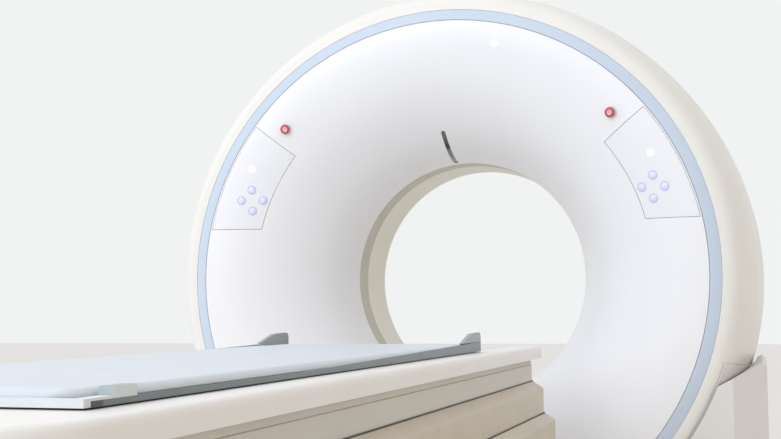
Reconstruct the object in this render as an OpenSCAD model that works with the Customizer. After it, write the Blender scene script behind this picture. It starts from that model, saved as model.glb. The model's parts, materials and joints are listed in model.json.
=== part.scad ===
// Computed tomography scanner: a fixed ring gantry and its patient couch.
// X runs across the couch, Y runs along the bore from the couch to the rear, Z is up.
// The origin is on the floor, straight below the point where the bore axis meets the scan plane.

/* [Gantry] */
// Clear height of the drum's lowest point above the floor
drum_lift = 68; // [60:1:90]
// Radius of the patient bore
bore_r = 390; // [375:1:400]
// Distance from the scan plane forward to the outer edge of the blue ring
face_reach = 505; // [495:1:530]
// Distance from the scan plane back to the rear face
back_reach = 435; // [425:1:470]
// Outer radius of the blue ring
ring_r = 831; // [825:1:838]
// Width of the blue ring, seen from the front
ring_w = 34; // [26:1:40]
// How far the inner edge of the blue ring stands in front of its outer edge
ring_slope = 9; // [6:1:12]
// Depth of the blue ring's section behind its outer edge
ring_t = 16; // [12:1:20]
// Largest radius of the drum
drum_r = 947; // [940:1:955]
// Half length of the straight bore tube
tube_half = 140; // [130:1:150]
// Width of the grey window band at the front of the bore tube
window_w = 90; // [70:1:100]
// Fullness of the front bell mouth's curve (2 is a true ellipse)
mouth_power = 1.87; // [1.8:0.01:2]
// Wall of the moulded covers
shell_t = 6; // [5:0.5:7]
// Visible seam between two moulded covers
seam = 2; // [1.5:0.5:3]
// Distance from the scan plane back to the seam between drum and rear cover
rear_seam = 295; // [285:1:310]

/* [Foot covers] */
// Height of the foot cover's outer top edge
foot_top_h = 748; // [730:1:760]
// Slope of the foot cover's top, in degrees, falling towards the drum
foot_slope = 27; // [22:1:32]
// Distance of the foot cover's front corner crease from its outer side
foot_chamfer_w = 95; // [80:1:110]
// Depth of the foot cover's chamfered corner
foot_chamfer_d = 150; // [130:1:170]
// Gap between the foot cover and the drum it hugs
foot_gap = 10; // [8:1:12]
// Distance from the scan plane back to the rear of the foot cover
foot_back = 400; // [390:1:410]
// Clear height under the foot cover
foot_lift = 16; // [14:1:20]

/* [Controls] */
// Angle from the top of the ring to the upper edge of a control panel
panel_angle = 51.6; // [50:0.1:54]
// Inner radius of a control panel
panel_in_r = 636; // [630:1:642]
// Height of a control panel's lower edge above the bore axis
panel_low = 161; // [150:1:175]
// Thickness of a control panel
panel_t = 4; // [3.5:0.1:4.2]
// Sideways distance from the bore axis to the middle of the key cross
keys_x = 640; // [632:1:648]
// Height of the middle of the key cross above the bore axis
keys_z = 253; // [245:1:262]
// Distance from the middle of the cross to each key
key_reach = 34; // [32:1:38]
// Radius of a key cap
key_r = 11.5; // [10:0.5:13]
// Travel of a key
key_travel = 1.5; // [1:0.1:1.8]
// Radius of a stop button's head
stop_r = 15; // [13:0.5:17]
// Travel of a stop button
stop_travel = 5; // [4:0.5:6]
// Distance from the bore axis to a stop button
stop_reach = 709; // [700:1:720]
// Angle from the top of the ring to a stop button
stop_angle = 47.3; // [45:0.1:48]
// Radius of an indicator lamp
lamp_r = 11; // [9:0.5:13]
// Sideways place of the laser window, left of the middle
slot_x = -35; // [-45:1:-25]
// Width of the laser window
slot_w = 14; // [10:1:18]

/* [Rotor] */
// Room between the drum's largest radius and the rotor's rim, which the belt runs on
rim_room = 167; // [162:1:177]
// Thickness of the rotor plate
rotor_t = 40; // [36:1:46]
// Distance from the scan plane back to the rotor plate's front face
rotor_y = 60; // [56:1:64]
// Radius of the ring of bearing balls
ball_ring_r = 510; // [505:1:520]
// Radius of a bearing ball
ball_r = 16; // [14:0.5:18]
// Number of bearing balls
ball_n = 36; // [24:2:40]
// Distance from the X-ray focus to the bore axis
focus_r = 600; // [595:1:610]
// Distance from the X-ray focus to the detector's face
detector_r = 1075; // [1070:1:1085]
// Radius of the X-ray tube housing
housing_r = 90; // [80:1:95]
// Radius of the drive pulley
pulley_r = 45; // [40:1:48]
// Thickness of the drive belt
belt_t = 4; // [3:0.5:5]
// Distance from the drum's largest radius in to the drive motor's axis
motor_inset = 85; // [82:1:88]
// Angle from the top of the ring to the drive motor
motor_angle = 150; // [146:1:154]

/* [Base] */
// Thickness of the floor plates
plate_t = 12; // [10:1:16]
// Thickness of the upright gantry frame plate
frame_t = 45; // [40:1:50]
// Distance from a foot cover's outer side in to the gantry's anchor holes
anchor_inset = 127; // [120:1:135]
// Half distance between the gantry's anchor holes, along the bore
anchor_y = 360; // [350:1:370]
// Radius of an anchor hole
anchor_r = 9; // [8:0.5:11]

/* [Couch] */
// Half width of the couch's top cover
couch_half_w = 325; // [315:1:335]
// Height of the top cover's deck
deck_h = 803; // [795:1:810]
// Height of the top cover's side
cover_side = 34; // [30:1:40]
// Radius of the top cover's long edges
edge_r = 14; // [10:1:18]
// Gap between the couch and the gantry's blue ring
couch_gap = 100; // [90:1:120]
// Length of the deck beyond the tabletop's foot end
foot_deck = 240; // [200:5:280]
// Corner radius at the foot end of the couch
foot_corner_r = 160; // [130:1:180]
// Half width of the channel that the tabletop runs in
channel_half_w = 243; // [240:1:246]
// Depth of the channel below the deck
channel_d = 58; // [56:1:62]
// How far the top cover reaches out beyond the grey band at the foot end
foot_overhang = 255; // [240:5:280]
// Wall of the couch covers
skirt_t = 4; // [3:0.5:5]

/* [Lift skirts] */
// Half width of the grey band under the top cover
band_half_w = 308; // [300:1:311]
// Corner radius of the grey band
band_corner_r = 60; // [50:1:80]
// Width and height of each skirt's sloped shoulder
shoulder = [29, 20];
// Gap where one skirt passes through the next
skirt_gap = 3; // [2:0.5:4]
// Distance from the cover's lower edge down to the upper skirt's top
band_show = 63; // [58:1:70]
// Distance from the upper skirt's top down to the lower skirt's top
upper_show = 89; // [80:1:95]
// Distance from the lower skirt's top down to the fixed skirt's top
lower_show = 167; // [150:1:170]
// Length of each skirt that stays inside the next one
skirt_overlap = 60; // [50:1:70]

/* [Lift columns] */
// Distance of the two columns from the top cover's head end and from its foot end
column_insets = [395, 855];
// Radius of a column's outer tube
column_r = 85; // [80:1:95]
// Wall of the column tubes
column_t = 8; // [6:0.5:10]
// Length of each column tube
column_len = 330; // [325:1:340]
// Full downward travel of the couch
lift_down = 310; // [290:1:310]
// Running gap between two column tubes
column_fit = 0.4; // [0.3:0.05:0.5]

/* [Tabletop] */
// Half width of the tabletop
top_half_w = 262; // [258:1:266]
// Length of the tabletop
top_len = 1860; // [1800:10:1900]
// Distance from the blue ring to the tabletop's head end, at rest
top_gap = 650; // [640:1:700]
// Thickness of the tabletop shell
top_t = 6; // [5:0.5:7]
// Half width of the tabletop's flat bottom
top_flat = 150; // [140:1:160]
// Gap between the deck and the tabletop's side
top_lift = 2; // [1.5:0.5:3]
// How far the middle of the tabletop hangs below its sides
top_drop = 25; // [22:1:26]
// Height of the tabletop's side at the foot end
side_foot_h = 7; // [6.5:0.5:9]
// Height of the tabletop's side at the head end
side_head_h = 23; // [20:1:26]
// Half width of the mattress
pad_half_w = 240; // [236:1:244]
// Height of the mattress top above the deck
pad_h = 26; // [24:1:30]
// Half distance between the two guide rails
rail_x = 120; // [115:1:126]
// Radius of the tabletop's drive roller
roller_r = 30; // [28:1:31]
// Place of the drive roller along Y
drive_y = -1275; // [-1280:1:-1265]
// Length of the raised corner guards at the tabletop's head end
guard_len = 190; // [170:5:210]
// Height of the corner guards above the tabletop's side
guard_h = 24; // [20:1:28]

/* [Hidden] */

// Curve steps of a full turn on the finer rounds
fine = 96;
// A cut that reaches past the face it opens
past = 1;
// A gap at which two pieces count as just touching while they run
running = 0.3;
// A shaft's radial clearance in its bore
shaft_fit = 0.08;

face_y = -face_reach;
flat_y = face_y - ring_slope;
ring_in_r = ring_r - ring_w;
flange_y = face_y + ring_t;
rear_power = 1.45;
drum_power = 2.87;
// Depth over which the drum's side would swell to its full radius
drum_swell = 950;
rear_bell_r = 600;
rear_round = 60;

iso_h = drum_r + drum_lift;
foot_half_w = drum_r;
rim_r = drum_r - rim_room;
motor_reach = drum_r - motor_inset;
anchor_x = foot_half_w - anchor_inset;
plate_y = rotor_y + rotor_t + 90;
couch_head = face_y - couch_gap;
cover_low = deck_h - cover_side;
channel_floor = deck_h - channel_d;
top_head = face_y - top_gap;
top_foot = top_head - top_len;
couch_foot = top_foot - foot_deck;
column_places = [couch_head - column_insets[0], couch_foot + column_insets[1]];
top_side_z = deck_h + top_lift;
top_low_z = top_side_z - top_drop;
band_head = couch_head - 45;
band_foot = couch_foot + foot_overhang;
channel_foot = band_foot + 25;
upper_top = cover_low - band_show;
lower_top = upper_top - upper_show;
fixed_top = lower_top - lower_show;
beam_h = 45;
frame_low = channel_floor - 2 - beam_h;
rail_h = 15;
rail_w = 20;

// Places a child at an angle from the top and a distance from the bore axis, seen from the front
module at_clock(angle, reach, y) {
    translate([reach * sin(angle), y, iso_h + reach * cos(angle)]) children();
}

// Turns a section drawn as [radius, y] about the bore axis
module about_bore() {
    translate([0, 0, iso_h]) rotate([-90, 0, 0]) rotate_extrude($fn = fine) children();
}

// A round bar along Y, from y to y + long
module bar_y(r, y, long) {
    translate([0, y, 0]) rotate([-90, 0, 0]) cylinder(r = r, h = long, $fn = 48);
}

// A round bar along X, from x to x + long
module bar_x(r, x, long) {
    translate([x, 0, 0]) rotate([0, 90, 0]) cylinder(r = r, h = long, $fn = 48);
}

// A block from one corner to the opposite one
module block(low, high) {
    translate(low) cube(high - low);
}

// The mirror pair of what is drawn on the +X side
module both_sides() {
    children();
    mirror([1, 0, 0]) children();
}

// Moves each point of an open line sideways by d, to the left of its direction for d above 0
function sideways(line, d) = [for (i = [0:len(line) - 1])
    let (a = line[max(i - 1, 0)], b = line[min(i + 1, len(line) - 1)], v = (b - a) / norm(b - a))
    line[i] + d * [-v[1], v[0]]];

function back_to_front(line) = [for (i = [len(line) - 1:-1:0]) line[i]];

// Bell mouth from the tube end (share 0) to the face (share 1): a rounded cone in [radius, y]
function bell_at(share, tube_y, end_y, wide_r, power) =
    [wide_r - (wide_r - bore_r) * pow(1 - pow(share, power), 1 / power),
        tube_y + share * (end_y - tube_y)];
function bell_line(tube_y, end_y, wide_r, power) =
    [for (i = [0:24]) let (k = i / 24) bell_at(1 - pow(1 - k, 1.7), tube_y, end_y, wide_r, power)];

// The front mouth's line, its depth at a radius, and its lean there from the flat, in degrees
mouth_r = ring_in_r - seam - 4;
mouth_line = bell_line(-tube_half, flat_y, mouth_r, mouth_power);
function mouth_y(r) = -tube_half + (flat_y + tube_half)
    * pow(1 - pow(max(0, mouth_r - r) / (mouth_r - bore_r), mouth_power), 1 / mouth_power);
function mouth_lean(r) = atan((mouth_y(r - 0.5) - mouth_y(r + 0.5)));

// Stands a child on the mouth, in front of the point (x, z): its own +Y goes straight into the face
module on_mouth(x, z) {
    r = norm([x, z]);
    translate([0, 0, iso_h]) rotate([0, atan2(x, z), 0]) translate([0, mouth_y(r), r])
        rotate([mouth_lean(r), 0, 0]) children();
}

// Side of the drum, swelling from the blue ring to the largest radius
function drum_at(y) = let (share = min(1, (y - face_y) / drum_swell))
    [ring_r + 1 + (drum_r - ring_r) * pow(1 - pow(1 - share, drum_power), 1 / drum_power), y];
function drum_line(last) =
    [for (i = [0:22]) drum_at(face_y + (last - face_y) * pow(i / 22, 2.2))];

// Corner rounding of the rear cover, from the drum's side to the flat back
rear_side = drum_at(rear_seam)[0];
function rear_corner() = [for (i = [0:8]) let (a = 90 * i / 8)
    [rear_side - rear_round + rear_round * cos(a), back_reach - rear_round + rear_round * sin(a)]];

// One moulded shell: its outer line and the same line a wall further in
module shell_section(line, wall) {
    polygon(concat(line, back_to_front(sideways(line, wall))));
}

/* Gantry covers */

// The outline of a control panel on the face, grown by d, drawn as seen from the front
module panel_outline(d) {
    intersection() {
        difference() {
            circle(r = mouth_r - 1 + d, $fn = fine);
            circle(r = panel_in_r - d, $fn = fine);
        }
        polygon([[0, panel_low - d], [ring_r, panel_low - d],
            ring_r * 1.4 * [sin(panel_angle), cos(panel_angle)] + d * [-cos(panel_angle), sin(panel_angle)],
            d * [-cos(panel_angle), sin(panel_angle)] + [0, 0]]);
    }
}

// Carries a front-view drawing to the face, from y to y + thick
module on_face(y, thick) {
    translate([0, y + thick, iso_h]) rotate([90, 0, 0]) linear_extrude(thick) children();
}

key_ends = [[0, 1], [0, -1], [-1, 0], [1, 0]];
stem_r = 4;
stop_stem_r = 7;
stop_x = stop_reach * sin(stop_angle);
stop_z = stop_reach * cos(stop_angle);
lamp_x = 636;
lamp_z = 353;
rim = ring_in_r - seam;
cover_line = concat(mouth_line, [[rim - 1.2, flat_y + 1.2], [rim, flat_y + 4], [rim, flange_y]]);

module on_keys() {
    for (e = key_ends) on_mouth(keys_x + e[0] * key_reach, keys_z + e[1] * key_reach) children();
}

module front_cover() {
    color("whitesmoke") difference() {
        about_bore() shell_section(cover_line, shell_t);
        // pockets of the control panels
        both_sides() intersection() {
            about_bore() polygon(concat(sideways(mouth_line, -past),
                back_to_front(sideways(mouth_line, panel_t))));
            on_face(flat_y - 2 * past, 90) panel_outline(0.5);
        }
        // ways through for key stems and stop button stems
        both_sides() on_keys() bar_y(stem_r + shaft_fit, 0, shell_t + past);
        both_sides() on_mouth(stop_x, stop_z) bar_y(stop_stem_r + shaft_fit, -past, shell_t + 2 * past);
        // slot of the laser window
        slot_cut(0);
    }
}

slot_y0 = face_y + 150;
slot_y1 = -tube_half - 25;
// Upright slot with round ends, through the top of the bell mouth, narrower by d all round
module slot_cut(d) {
    long = slot_y1 - slot_y0 - slot_w;
    translate([slot_x, slot_y0 + slot_w / 2, iso_h + bore_r * 0.9]) {
        translate([-slot_w / 2 + d, 0, 0]) cube([slot_w - 2 * d, long, 200]);
        for (y = [0, long]) translate([0, y, 0]) cylinder(r = slot_w / 2 - d, h = 200, $fn = 32);
    }
}

module laser_window() {
    sunk = sideways(mouth_line, 1.5);
    color([0.25, 0.25, 0.28]) intersection() {
        about_bore() shell_section(sunk, shell_t - 1.5);
        slot_cut(0.2);
    }
}

module trim_ring() {
    color([0.72, 0.8, 0.9]) about_bore() polygon([[ring_in_r, flange_y], [ring_in_r, flat_y + 1.5],
        [ring_in_r + 1.5, flat_y], [ring_r - 1.5, face_y - 0.4], [ring_r, face_y + 1], [ring_r, flange_y]]);
}

barrel_flange = 45;
module barrel_cover() {
    line = drum_line(rear_seam);
    color("white") difference() {
        union() {
            about_bore() shell_section(line, shell_t);
            // inner flange that carries the blue ring and the front cover
            about_bore() polygon([[ring_in_r - barrel_flange, flange_y], [drum_at(flange_y)[0] - 2, flange_y],
                [drum_at(flange_y + shell_t)[0] - 2, flange_y + shell_t],
                [ring_in_r - barrel_flange, flange_y + shell_t]]);
        }
        // slits through which the upright frame plate reaches its feet
        both_sides() block([arm_in_x - 30, plate_y - seam, 0], [foot_half_w, plate_y + frame_t + seam,
            iso_h + arm_top_z + 10]);
    }
}

module vent_slots() {
    for (a = [-1, 1], i = [0:6])
        translate([a * (300 + 26 * i), 0, iso_h - 690 + 10 * i]) {
            translate([-5, back_reach - shell_t - past, 0]) cube([10, shell_t + 2 * past, 90]);
            for (z = [0, 90]) translate([0, 0, z]) bar_y(5, back_reach - shell_t - past, shell_t + 2 * past);
        }
}

module rear_cover() {
    under = drum_at(rear_seam - 18)[0] - shell_t - 0.05;
    line = concat([[rear_side, rear_seam + seam]], rear_corner(), [[rear_bell_r + 60, back_reach]],
        back_to_front(bell_line(tube_half, back_reach, rear_bell_r, rear_power)));
    color("white") difference() {
        union() {
            about_bore() shell_section(line, shell_t);
            // lip that slips under the drum's edge
            about_bore() polygon([[under - 4, rear_seam - 18], [under, rear_seam - 18],
                [under, rear_seam + seam + 0.5], [under + 2, rear_seam + seam + 0.5],
                [under + 2, rear_seam + 14], [under - 4, rear_seam + 14]]);
        }
        vent_slots();
    }
}

// Joint between the bore tube and each bell mouth
sleeve_gap = 1;
module bore_sleeve(y0, y1) {
    about_bore() polygon([[bore_r, y0], [bore_r + shell_t, y0], [bore_r + shell_t, y1], [bore_r, y1]]);
}

module scan_window() {
    color([0.6, 0.6, 0.57]) bore_sleeve(-tube_half + sleeve_gap, -tube_half + window_w);
}

module bore_tube() {
    color([0.85, 0.84, 0.8]) bore_sleeve(-tube_half + window_w, tube_half - sleeve_gap);
}

// Front view of a foot cover, from its lower edge to its sloped top, made smaller by d
module foot_outline(d, low) {
    inner_x = anchor_x - 400 + d;
    top = foot_top_h - d;
    outer = foot_half_w - d;
    polygon([[inner_x, low], [outer, low], [outer, top - 12], [outer - 12, top],
        [inner_x, top - (outer - 12 - inner_x) * tan(foot_slope)]]);
}

// Plan of a foot cover with its chamfered front corner, made smaller by d
module foot_plan(d) {
    front = face_y + 4 + d;
    outer = foot_half_w - d;
    back = foot_back - d;
    polygon([[300, front], [outer - foot_chamfer_w, front], [outer, front + foot_chamfer_d],
        [outer, back - 50], [outer - 15, back - 15], [outer - 50, back], [300, back]]);
}

module foot_body(d, low) {
    intersection() {
        translate([0, foot_back, 0]) rotate([90, 0, 0]) linear_extrude(foot_back - face_y)
            foot_outline(d, low);
        translate([0, 0, low]) linear_extrude(iso_h) foot_plan(d);
    }
}

module foot_cover() {
    hug = sideways(drum_line(foot_back + 60), -foot_gap);
    color([0.93, 0.92, 0.9]) difference() {
        foot_body(0, foot_lift);
        foot_body(shell_t, foot_lift - past);
        // the drum that the cover hugs
        about_bore() polygon(concat([[0, face_y - 20], [ring_r + foot_gap, face_y - 20]],
            hug, [[0, foot_back + 60]]));
    }
}

module foot_cover_right() { foot_cover(); }

module foot_cover_left() { mirror([1, 0, 0]) foot_cover(); }

/* Controls */

module control_panel() {
    color([0.95, 0.95, 0.96]) difference() {
        intersection() {
            about_bore() shell_section(mouth_line, panel_t);
            on_face(flat_y - past, 90) panel_outline(0);
        }
        on_keys() {
            bar_y(key_r + 0.3, -past, panel_t + 2 * past);
            // groove for the light ring
            bar_y(key_r + 3, -past, 0.8 + past);
        }
        on_mouth(553, 352) bar_y(1.5, -past, 2 + past);
    }
}

module control_panel_right() { control_panel(); }

module control_panel_left() { mirror([1, 0, 0]) control_panel(); }

module key_rings() {
    color([0.55, 0.6, 0.95]) both_sides() on_keys() difference() {
        bar_y(key_r + 2.8, -0.3, 1.1);
        bar_y(key_r + 0.4, -past, 0.8 + 2 * past);
    }
}

// One key: a low cap in the panel's hole and a stem through the cover
module key(end) {
    cap = panel_t - key_travel - 0.3;
    color([0.93, 0.93, 0.97]) on_mouth(keys_x + end[0] * key_reach, keys_z + end[1] * key_reach) {
        translate([0, -1.2, 0]) rotate([-90, 0, 0]) cylinder(r1 = key_r - 0.8, r2 = key_r, h = 0.8, $fn = 48);
        bar_y(key_r, -0.4, cap + 0.4);
        bar_y(stem_r, cap - past, shell_t + 8);
    }
}

module key_right_up() { key(key_ends[0]); }
module key_right_down() { key(key_ends[1]); }
module key_right_inner() { key(key_ends[2]); }
module key_right_outer() { key(key_ends[3]); }
module key_left_up() { mirror([1, 0, 0]) key(key_ends[0]); }
module key_left_down() { mirror([1, 0, 0]) key(key_ends[1]); }
module key_left_inner() { mirror([1, 0, 0]) key(key_ends[2]); }
module key_left_outer() { mirror([1, 0, 0]) key(key_ends[3]); }

// A lamp's low dome, standing on the face
module lamp() {
    rotate([-90, 0, 0]) rotate_extrude($fn = 48) polygon(concat([[0, 0]],
        back_to_front([for (i = [0:8]) [lamp_r * sin(90 * i / 8), -3 * cos(90 * i / 8)]])));
}

module face_lamps() {
    color("white") {
        both_sides() on_mouth(lamp_x, lamp_z) lamp();
        on_mouth(171, 713) lamp();
    }
}

collar_h = 4;
module stop_collars() {
    color([0.85, 0.85, 0.86]) both_sides() on_mouth(stop_x, stop_z) difference() {
        union() {
            bar_y(stop_r + 3, 1 - collar_h, collar_h - 1);
            translate([0, -collar_h, 0]) rotate([-90, 0, 0])
                cylinder(r1 = stop_r + 1.5, r2 = stop_r + 3, h = 1, $fn = 48);
        }
        bar_y(stop_stem_r + shaft_fit, -collar_h - past, collar_h + 2 * past);
    }
}

// A stop button: a dished round head on its stem, drawn as a turned section
module stop_button() {
    under = -collar_h - stop_travel - 0.5;
    color([0.85, 0.2, 0.25]) on_mouth(stop_x, stop_z) rotate([-90, 0, 0])
        rotate_extrude($fn = 64) polygon([[0, under - 6.5], [stop_r * 0.55, under - 7],
            [stop_r * 0.62, under - 7.6], [stop_r - 2.5, under - 7.2], [stop_r - 0.7, under - 5.8],
            [stop_r, under - 4], [stop_r, under - 1], [stop_r - 1, under], [stop_stem_r, under],
            [stop_stem_r, shell_t + 10], [0, shell_t + 10]]);
}

module stop_button_right() { stop_button(); }
module stop_button_left() { mirror([1, 0, 0]) stop_button(); }

/* Rotor and its bearing */

race_w = 28;
race_gap = 2;
race_deep = 80;
groove_r = ball_r + running;
rotor_back = rotor_y + rotor_t;
ball_y = rotor_back + 45;

module ball_groove() {
    about_bore() translate([ball_ring_r, ball_y]) circle(r = groove_r, $fn = 48);
}

module bearing_inner_race() {
    color([0.6, 0.62, 0.65]) difference() {
        about_bore() polygon([[ball_ring_r - race_w - ball_r, rotor_back],
            [ball_ring_r - race_gap, rotor_back], [ball_ring_r - race_gap, rotor_back + race_deep],
            [ball_ring_r - race_w - ball_r, rotor_back + race_deep]]);
        ball_groove();
    }
}

module bearing_outer_race() {
    color([0.55, 0.57, 0.6]) difference() {
        about_bore() polygon([[ball_ring_r + race_gap, plate_y - race_deep],
            [ball_ring_r + race_w + ball_r, plate_y - race_deep],
            [ball_ring_r + race_w + ball_r, plate_y], [ball_ring_r + race_gap, plate_y]]);
        ball_groove();
    }
}

module bearing_balls() {
    color([0.8, 0.8, 0.82]) for (i = [0:ball_n - 1])
        at_clock(360 * i / ball_n, ball_ring_r, ball_y) sphere(r = ball_r, $fn = 24);
}

rotor_in_r = ball_ring_r - race_w - ball_r - 20;
module rotor_plate() {
    color([0.7, 0.72, 0.74]) difference() {
        about_bore() polygon([[rotor_in_r, rotor_y], [rim_r - 25, rotor_y], [rim_r - 25, rotor_y - 30],
            [rim_r, rotor_y - 30], [rim_r, rotor_back], [rotor_in_r, rotor_back]]);
        // lightening holes between the mounted units
        for (a = [25, 115, 245, 335])
            at_clock(a, (rim_r + rotor_in_r) / 2 + 20, rotor_y - past) bar_y(60, 0, rotor_t + 2 * past);
    }
}

slip_in_r = ball_ring_r + race_w + ball_r + 40;
slip_w = 90;
slip_t = 18;
module slip_ring() {
    color([0.75, 0.6, 0.35]) difference() {
        about_bore() polygon([[slip_in_r, rotor_back], [slip_in_r + slip_w, rotor_back],
            [slip_in_r + slip_w, rotor_back + slip_t], [slip_in_r, rotor_back + slip_t]]);
        // tracks
        for (i = [0:4]) about_bore() translate([slip_in_r + 8 + 16 * i, rotor_back + slip_t - 3])
            square([10, 3 + past]);
    }
}

brush_angle = 180;
module brush_block() {
    tip = rotor_back + slip_t + running;
    color([0.3, 0.3, 0.32]) at_clock(brush_angle, slip_in_r + slip_w / 2, 0) {
        block([-70, tip + 12, -slip_w / 2], [70, plate_y, slip_w / 2]);
        for (i = [0:3], x = [-45, 0, 45])
            translate([x - 8, tip, -slip_w / 2 + 5.5 + 16 * i + 13]) cube([16, 13, 5]);
    }
}

// X-ray tube housing: a turned drum along the bore's direction with a window boss under it
module tube_housing() {
    front = rotor_y - 360;
    color([0.8, 0.8, 0.8]) translate([0, 0, iso_h + focus_r + 30]) {
        rotate([-90, 0, 0]) rotate_extrude($fn = 64) polygon([[0, front], [housing_r - 20, front],
            [housing_r, front + 20], [housing_r, -80], [housing_r + 8, -80], [housing_r + 8, -60],
            [housing_r, -60], [housing_r, rotor_y - 20], [housing_r + 11.5, rotor_y - 20],
            [housing_r + 11.5, rotor_y], [0, rotor_y]]);
        block([-50, -50, -housing_r - 12], [50, 50, -housing_r + 30]);
    }
}

module collimator() {
    top = iso_h + focus_r + 30 - housing_r - 12;
    color([0.35, 0.37, 0.4]) difference() {
        block([-110, -60, top - 55], [110, rotor_y, top]);
        block([-60, -20, top - 55 - past], [60, 20, top + past]);
    }
}

// Arc of detectors: a slice of a ring centred on the X-ray focus
module detector_arc() {
    half_fan = 25;
    depth = 70;
    color([0.25, 0.28, 0.33]) difference() {
        translate([0, rotor_y, iso_h + focus_r]) rotate([90, 0, 0])
            rotate([0, 0, -90 - half_fan]) rotate_extrude(angle = 2 * half_fan, $fn = 180)
                translate([detector_r, 0]) square([depth, rotor_y + 60]);
        // slot that the fan beam enters
        translate([0, 15, iso_h + focus_r]) rotate([90, 0, 0])
            rotate([0, 0, -90 - half_fan + 2]) rotate_extrude(angle = 2 * half_fan - 4, $fn = 180)
                translate([detector_r - past, 0]) square([15 + past, 30]);
    }
}

module high_voltage_tanks() {
    color([0.65, 0.66, 0.68]) for (a = [72, -72])
        at_clock(a, 0, 0) rotate([0, a, 0]) {
            block([-150, rotor_y - 240, rim_r - 250], [150, rotor_y, rim_r - 80]);
            for (x = [-80, 80]) translate([x, rotor_y - 280, rim_r - 160]) bar_y(28, 0, 45);
        }
}

module tube_cooler() {
    color([0.6, 0.65, 0.7]) translate([0, 0, iso_h]) rotate([0, -36, 0]) {
        block([-90, rotor_y - 200, rim_r - 240], [90, rotor_y, rim_r - 220]);
        for (i = [0:14]) translate([-90 + 12.6 * i, rotor_y - 200, rim_r - 225]) cube([4, 200, 110]);
        block([-90, rotor_y - 200, rim_r - 120], [90, rotor_y, rim_r - 105]);
    }
}

module balance_weights() {
    color([0.4, 0.42, 0.45]) {
        for (a = [108, -108]) translate([0, 0, iso_h]) rotate([0, a, 0])
            block([-60, rotor_y - 70, rim_r - 180], [60, rotor_y, rim_r - 60]);
        translate([0, 0, iso_h]) rotate([0, 36, 0]) block([-60, rotor_y - 60, rim_r - 200], [60, rotor_y, rim_r - 80]);
    }
}

/* Rotor drive */

motor_x = motor_reach * sin(motor_angle);
motor_z = iso_h + motor_reach * cos(motor_angle);
belt_w = 40;
belt_y = rotor_back - belt_w - 5;

// Where a belt on two wheels leaves them: the angle from the line of centres
belt_spread = acos((rim_r - pulley_r) / motor_reach);

module drive_motor() {
    color([0.2, 0.22, 0.25]) translate([motor_x, 0, motor_z]) difference() {
        union() {
            bar_y(62, rotor_back + 12, plate_y - rotor_back - 12);
            bar_y(12, belt_y - 6, rotor_back + 20 - belt_y);
            translate([0, plate_y - 12, 0]) rotate([-90, 0, 0]) cylinder(r = 70, h = 12, $fn = 64);
        }
    }
}

module drive_pulley() {
    color([0.7, 0.7, 0.72]) translate([motor_x, 0, motor_z]) difference() {
        union() {
            bar_y(pulley_r, belt_y - 1, belt_w + 2);
            bar_y(pulley_r + belt_t + 2, belt_y - 3, 2.5);
            bar_y(pulley_r + belt_t + 2, belt_y + belt_w + 0.5, 2.5);
        }
        bar_y(12 + shaft_fit, belt_y - 5, belt_w + 12);
    }
}

// Line of a tight belt round both wheels, at d from them
function belt_line(d) = concat(
    [for (i = [0:150]) let (a = belt_spread + (360 - 2 * belt_spread) * i / 150)
        (rim_r + d) * [cos(a), sin(a)]],
    [for (i = [0:20]) let (a = -belt_spread + 2 * belt_spread * i / 20)
        [motor_reach, 0] + (pulley_r + d) * [cos(a), sin(a)]]);

module drive_belt() {
    color([0.12, 0.12, 0.13]) translate([0, belt_y + belt_w, iso_h]) rotate([90, 0, 0])
        rotate([0, 0, 90 - motor_angle]) linear_extrude(belt_w) difference() {
            polygon(belt_line(running + belt_t));
            polygon(belt_line(running));
        }
}

/* Gantry frame and base */

arm_in_x = anchor_x - 260;
arm_out_x = anchor_x + 60;
arm_top_z = -469;
rail_beam = [100, 78];

module gantry_frame() {
    back_r = drum_at(plate_y)[0] - shell_t - 0.05;
    color([0.5, 0.55, 0.6]) {
        translate([0, plate_y + frame_t, iso_h]) rotate([90, 0, 0]) linear_extrude(frame_t) difference() {
            union() {
                circle(r = rim_r + 20, $fn = 180);
                // legs that reach down to the floor beams
                for (s = [-1, 1]) polygon([[s * 300, -600], [s * arm_in_x, -740],
                    [s * (anchor_x - 90), plate_t + rail_beam[1] - iso_h],
                    [s * arm_out_x, plate_t + rail_beam[1] - iso_h], [s * arm_out_x, -520],
                    [s * 640, -330], [s * 500, -300]]);
                // pads that the drum's shell is fixed to
                intersection() {
                    circle(r = back_r, $fn = 180);
                    for (a = [0, 60, -60, 90, -90]) rotate(a) translate([-40, rim_r - 80]) square([80, 300]);
                }
                // seat of the motor
                rotate(-motor_angle) translate([0, motor_reach]) circle(r = 70, $fn = 64);
            }
            circle(r = ball_ring_r - 30, $fn = 180);
        }
    }
}

module base_frame() {
    beam_top = plate_t + rail_beam[1];
    color([0.45, 0.5, 0.55]) difference() {
        union() {
            // cross plate under the drum
            block([-anchor_x, -60, 0], [anchor_x, 60, plate_t]);
            // tongue that ties the couch's base plate to the gantry
            block([-150, band_head - band_corner_r, 0], [150, past, plate_t]);
            both_sides() {
                block([anchor_x - 70, -anchor_y - 60, 0], [anchor_x + 70, anchor_y + 30, plate_t]);
                block([anchor_x - rail_beam[0] / 2, -anchor_y + 50, plate_t - past],
                    [anchor_x + rail_beam[0] / 2, anchor_y - 50, beam_top]);
                // gusset in front of the upright plate
                translate([anchor_x - 10, 0, 0]) rotate([90, 0, 90]) linear_extrude(20)
                    polygon([[-200, beam_top - past], [plate_y, beam_top - past], [plate_y, beam_top + 320]]);
                // brackets that the foot cover is fixed to
                for (y = [-250, 100]) block([anchor_x, y, plate_t + 20],
                    [foot_half_w - shell_t, y + 40, plate_t + 50]);
            }
        }
        both_sides() for (y = [-anchor_y, anchor_y])
            translate([anchor_x, y, -past]) cylinder(r = anchor_r, h = plate_t + 2 * past, $fn = 32);
    }
}

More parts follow.
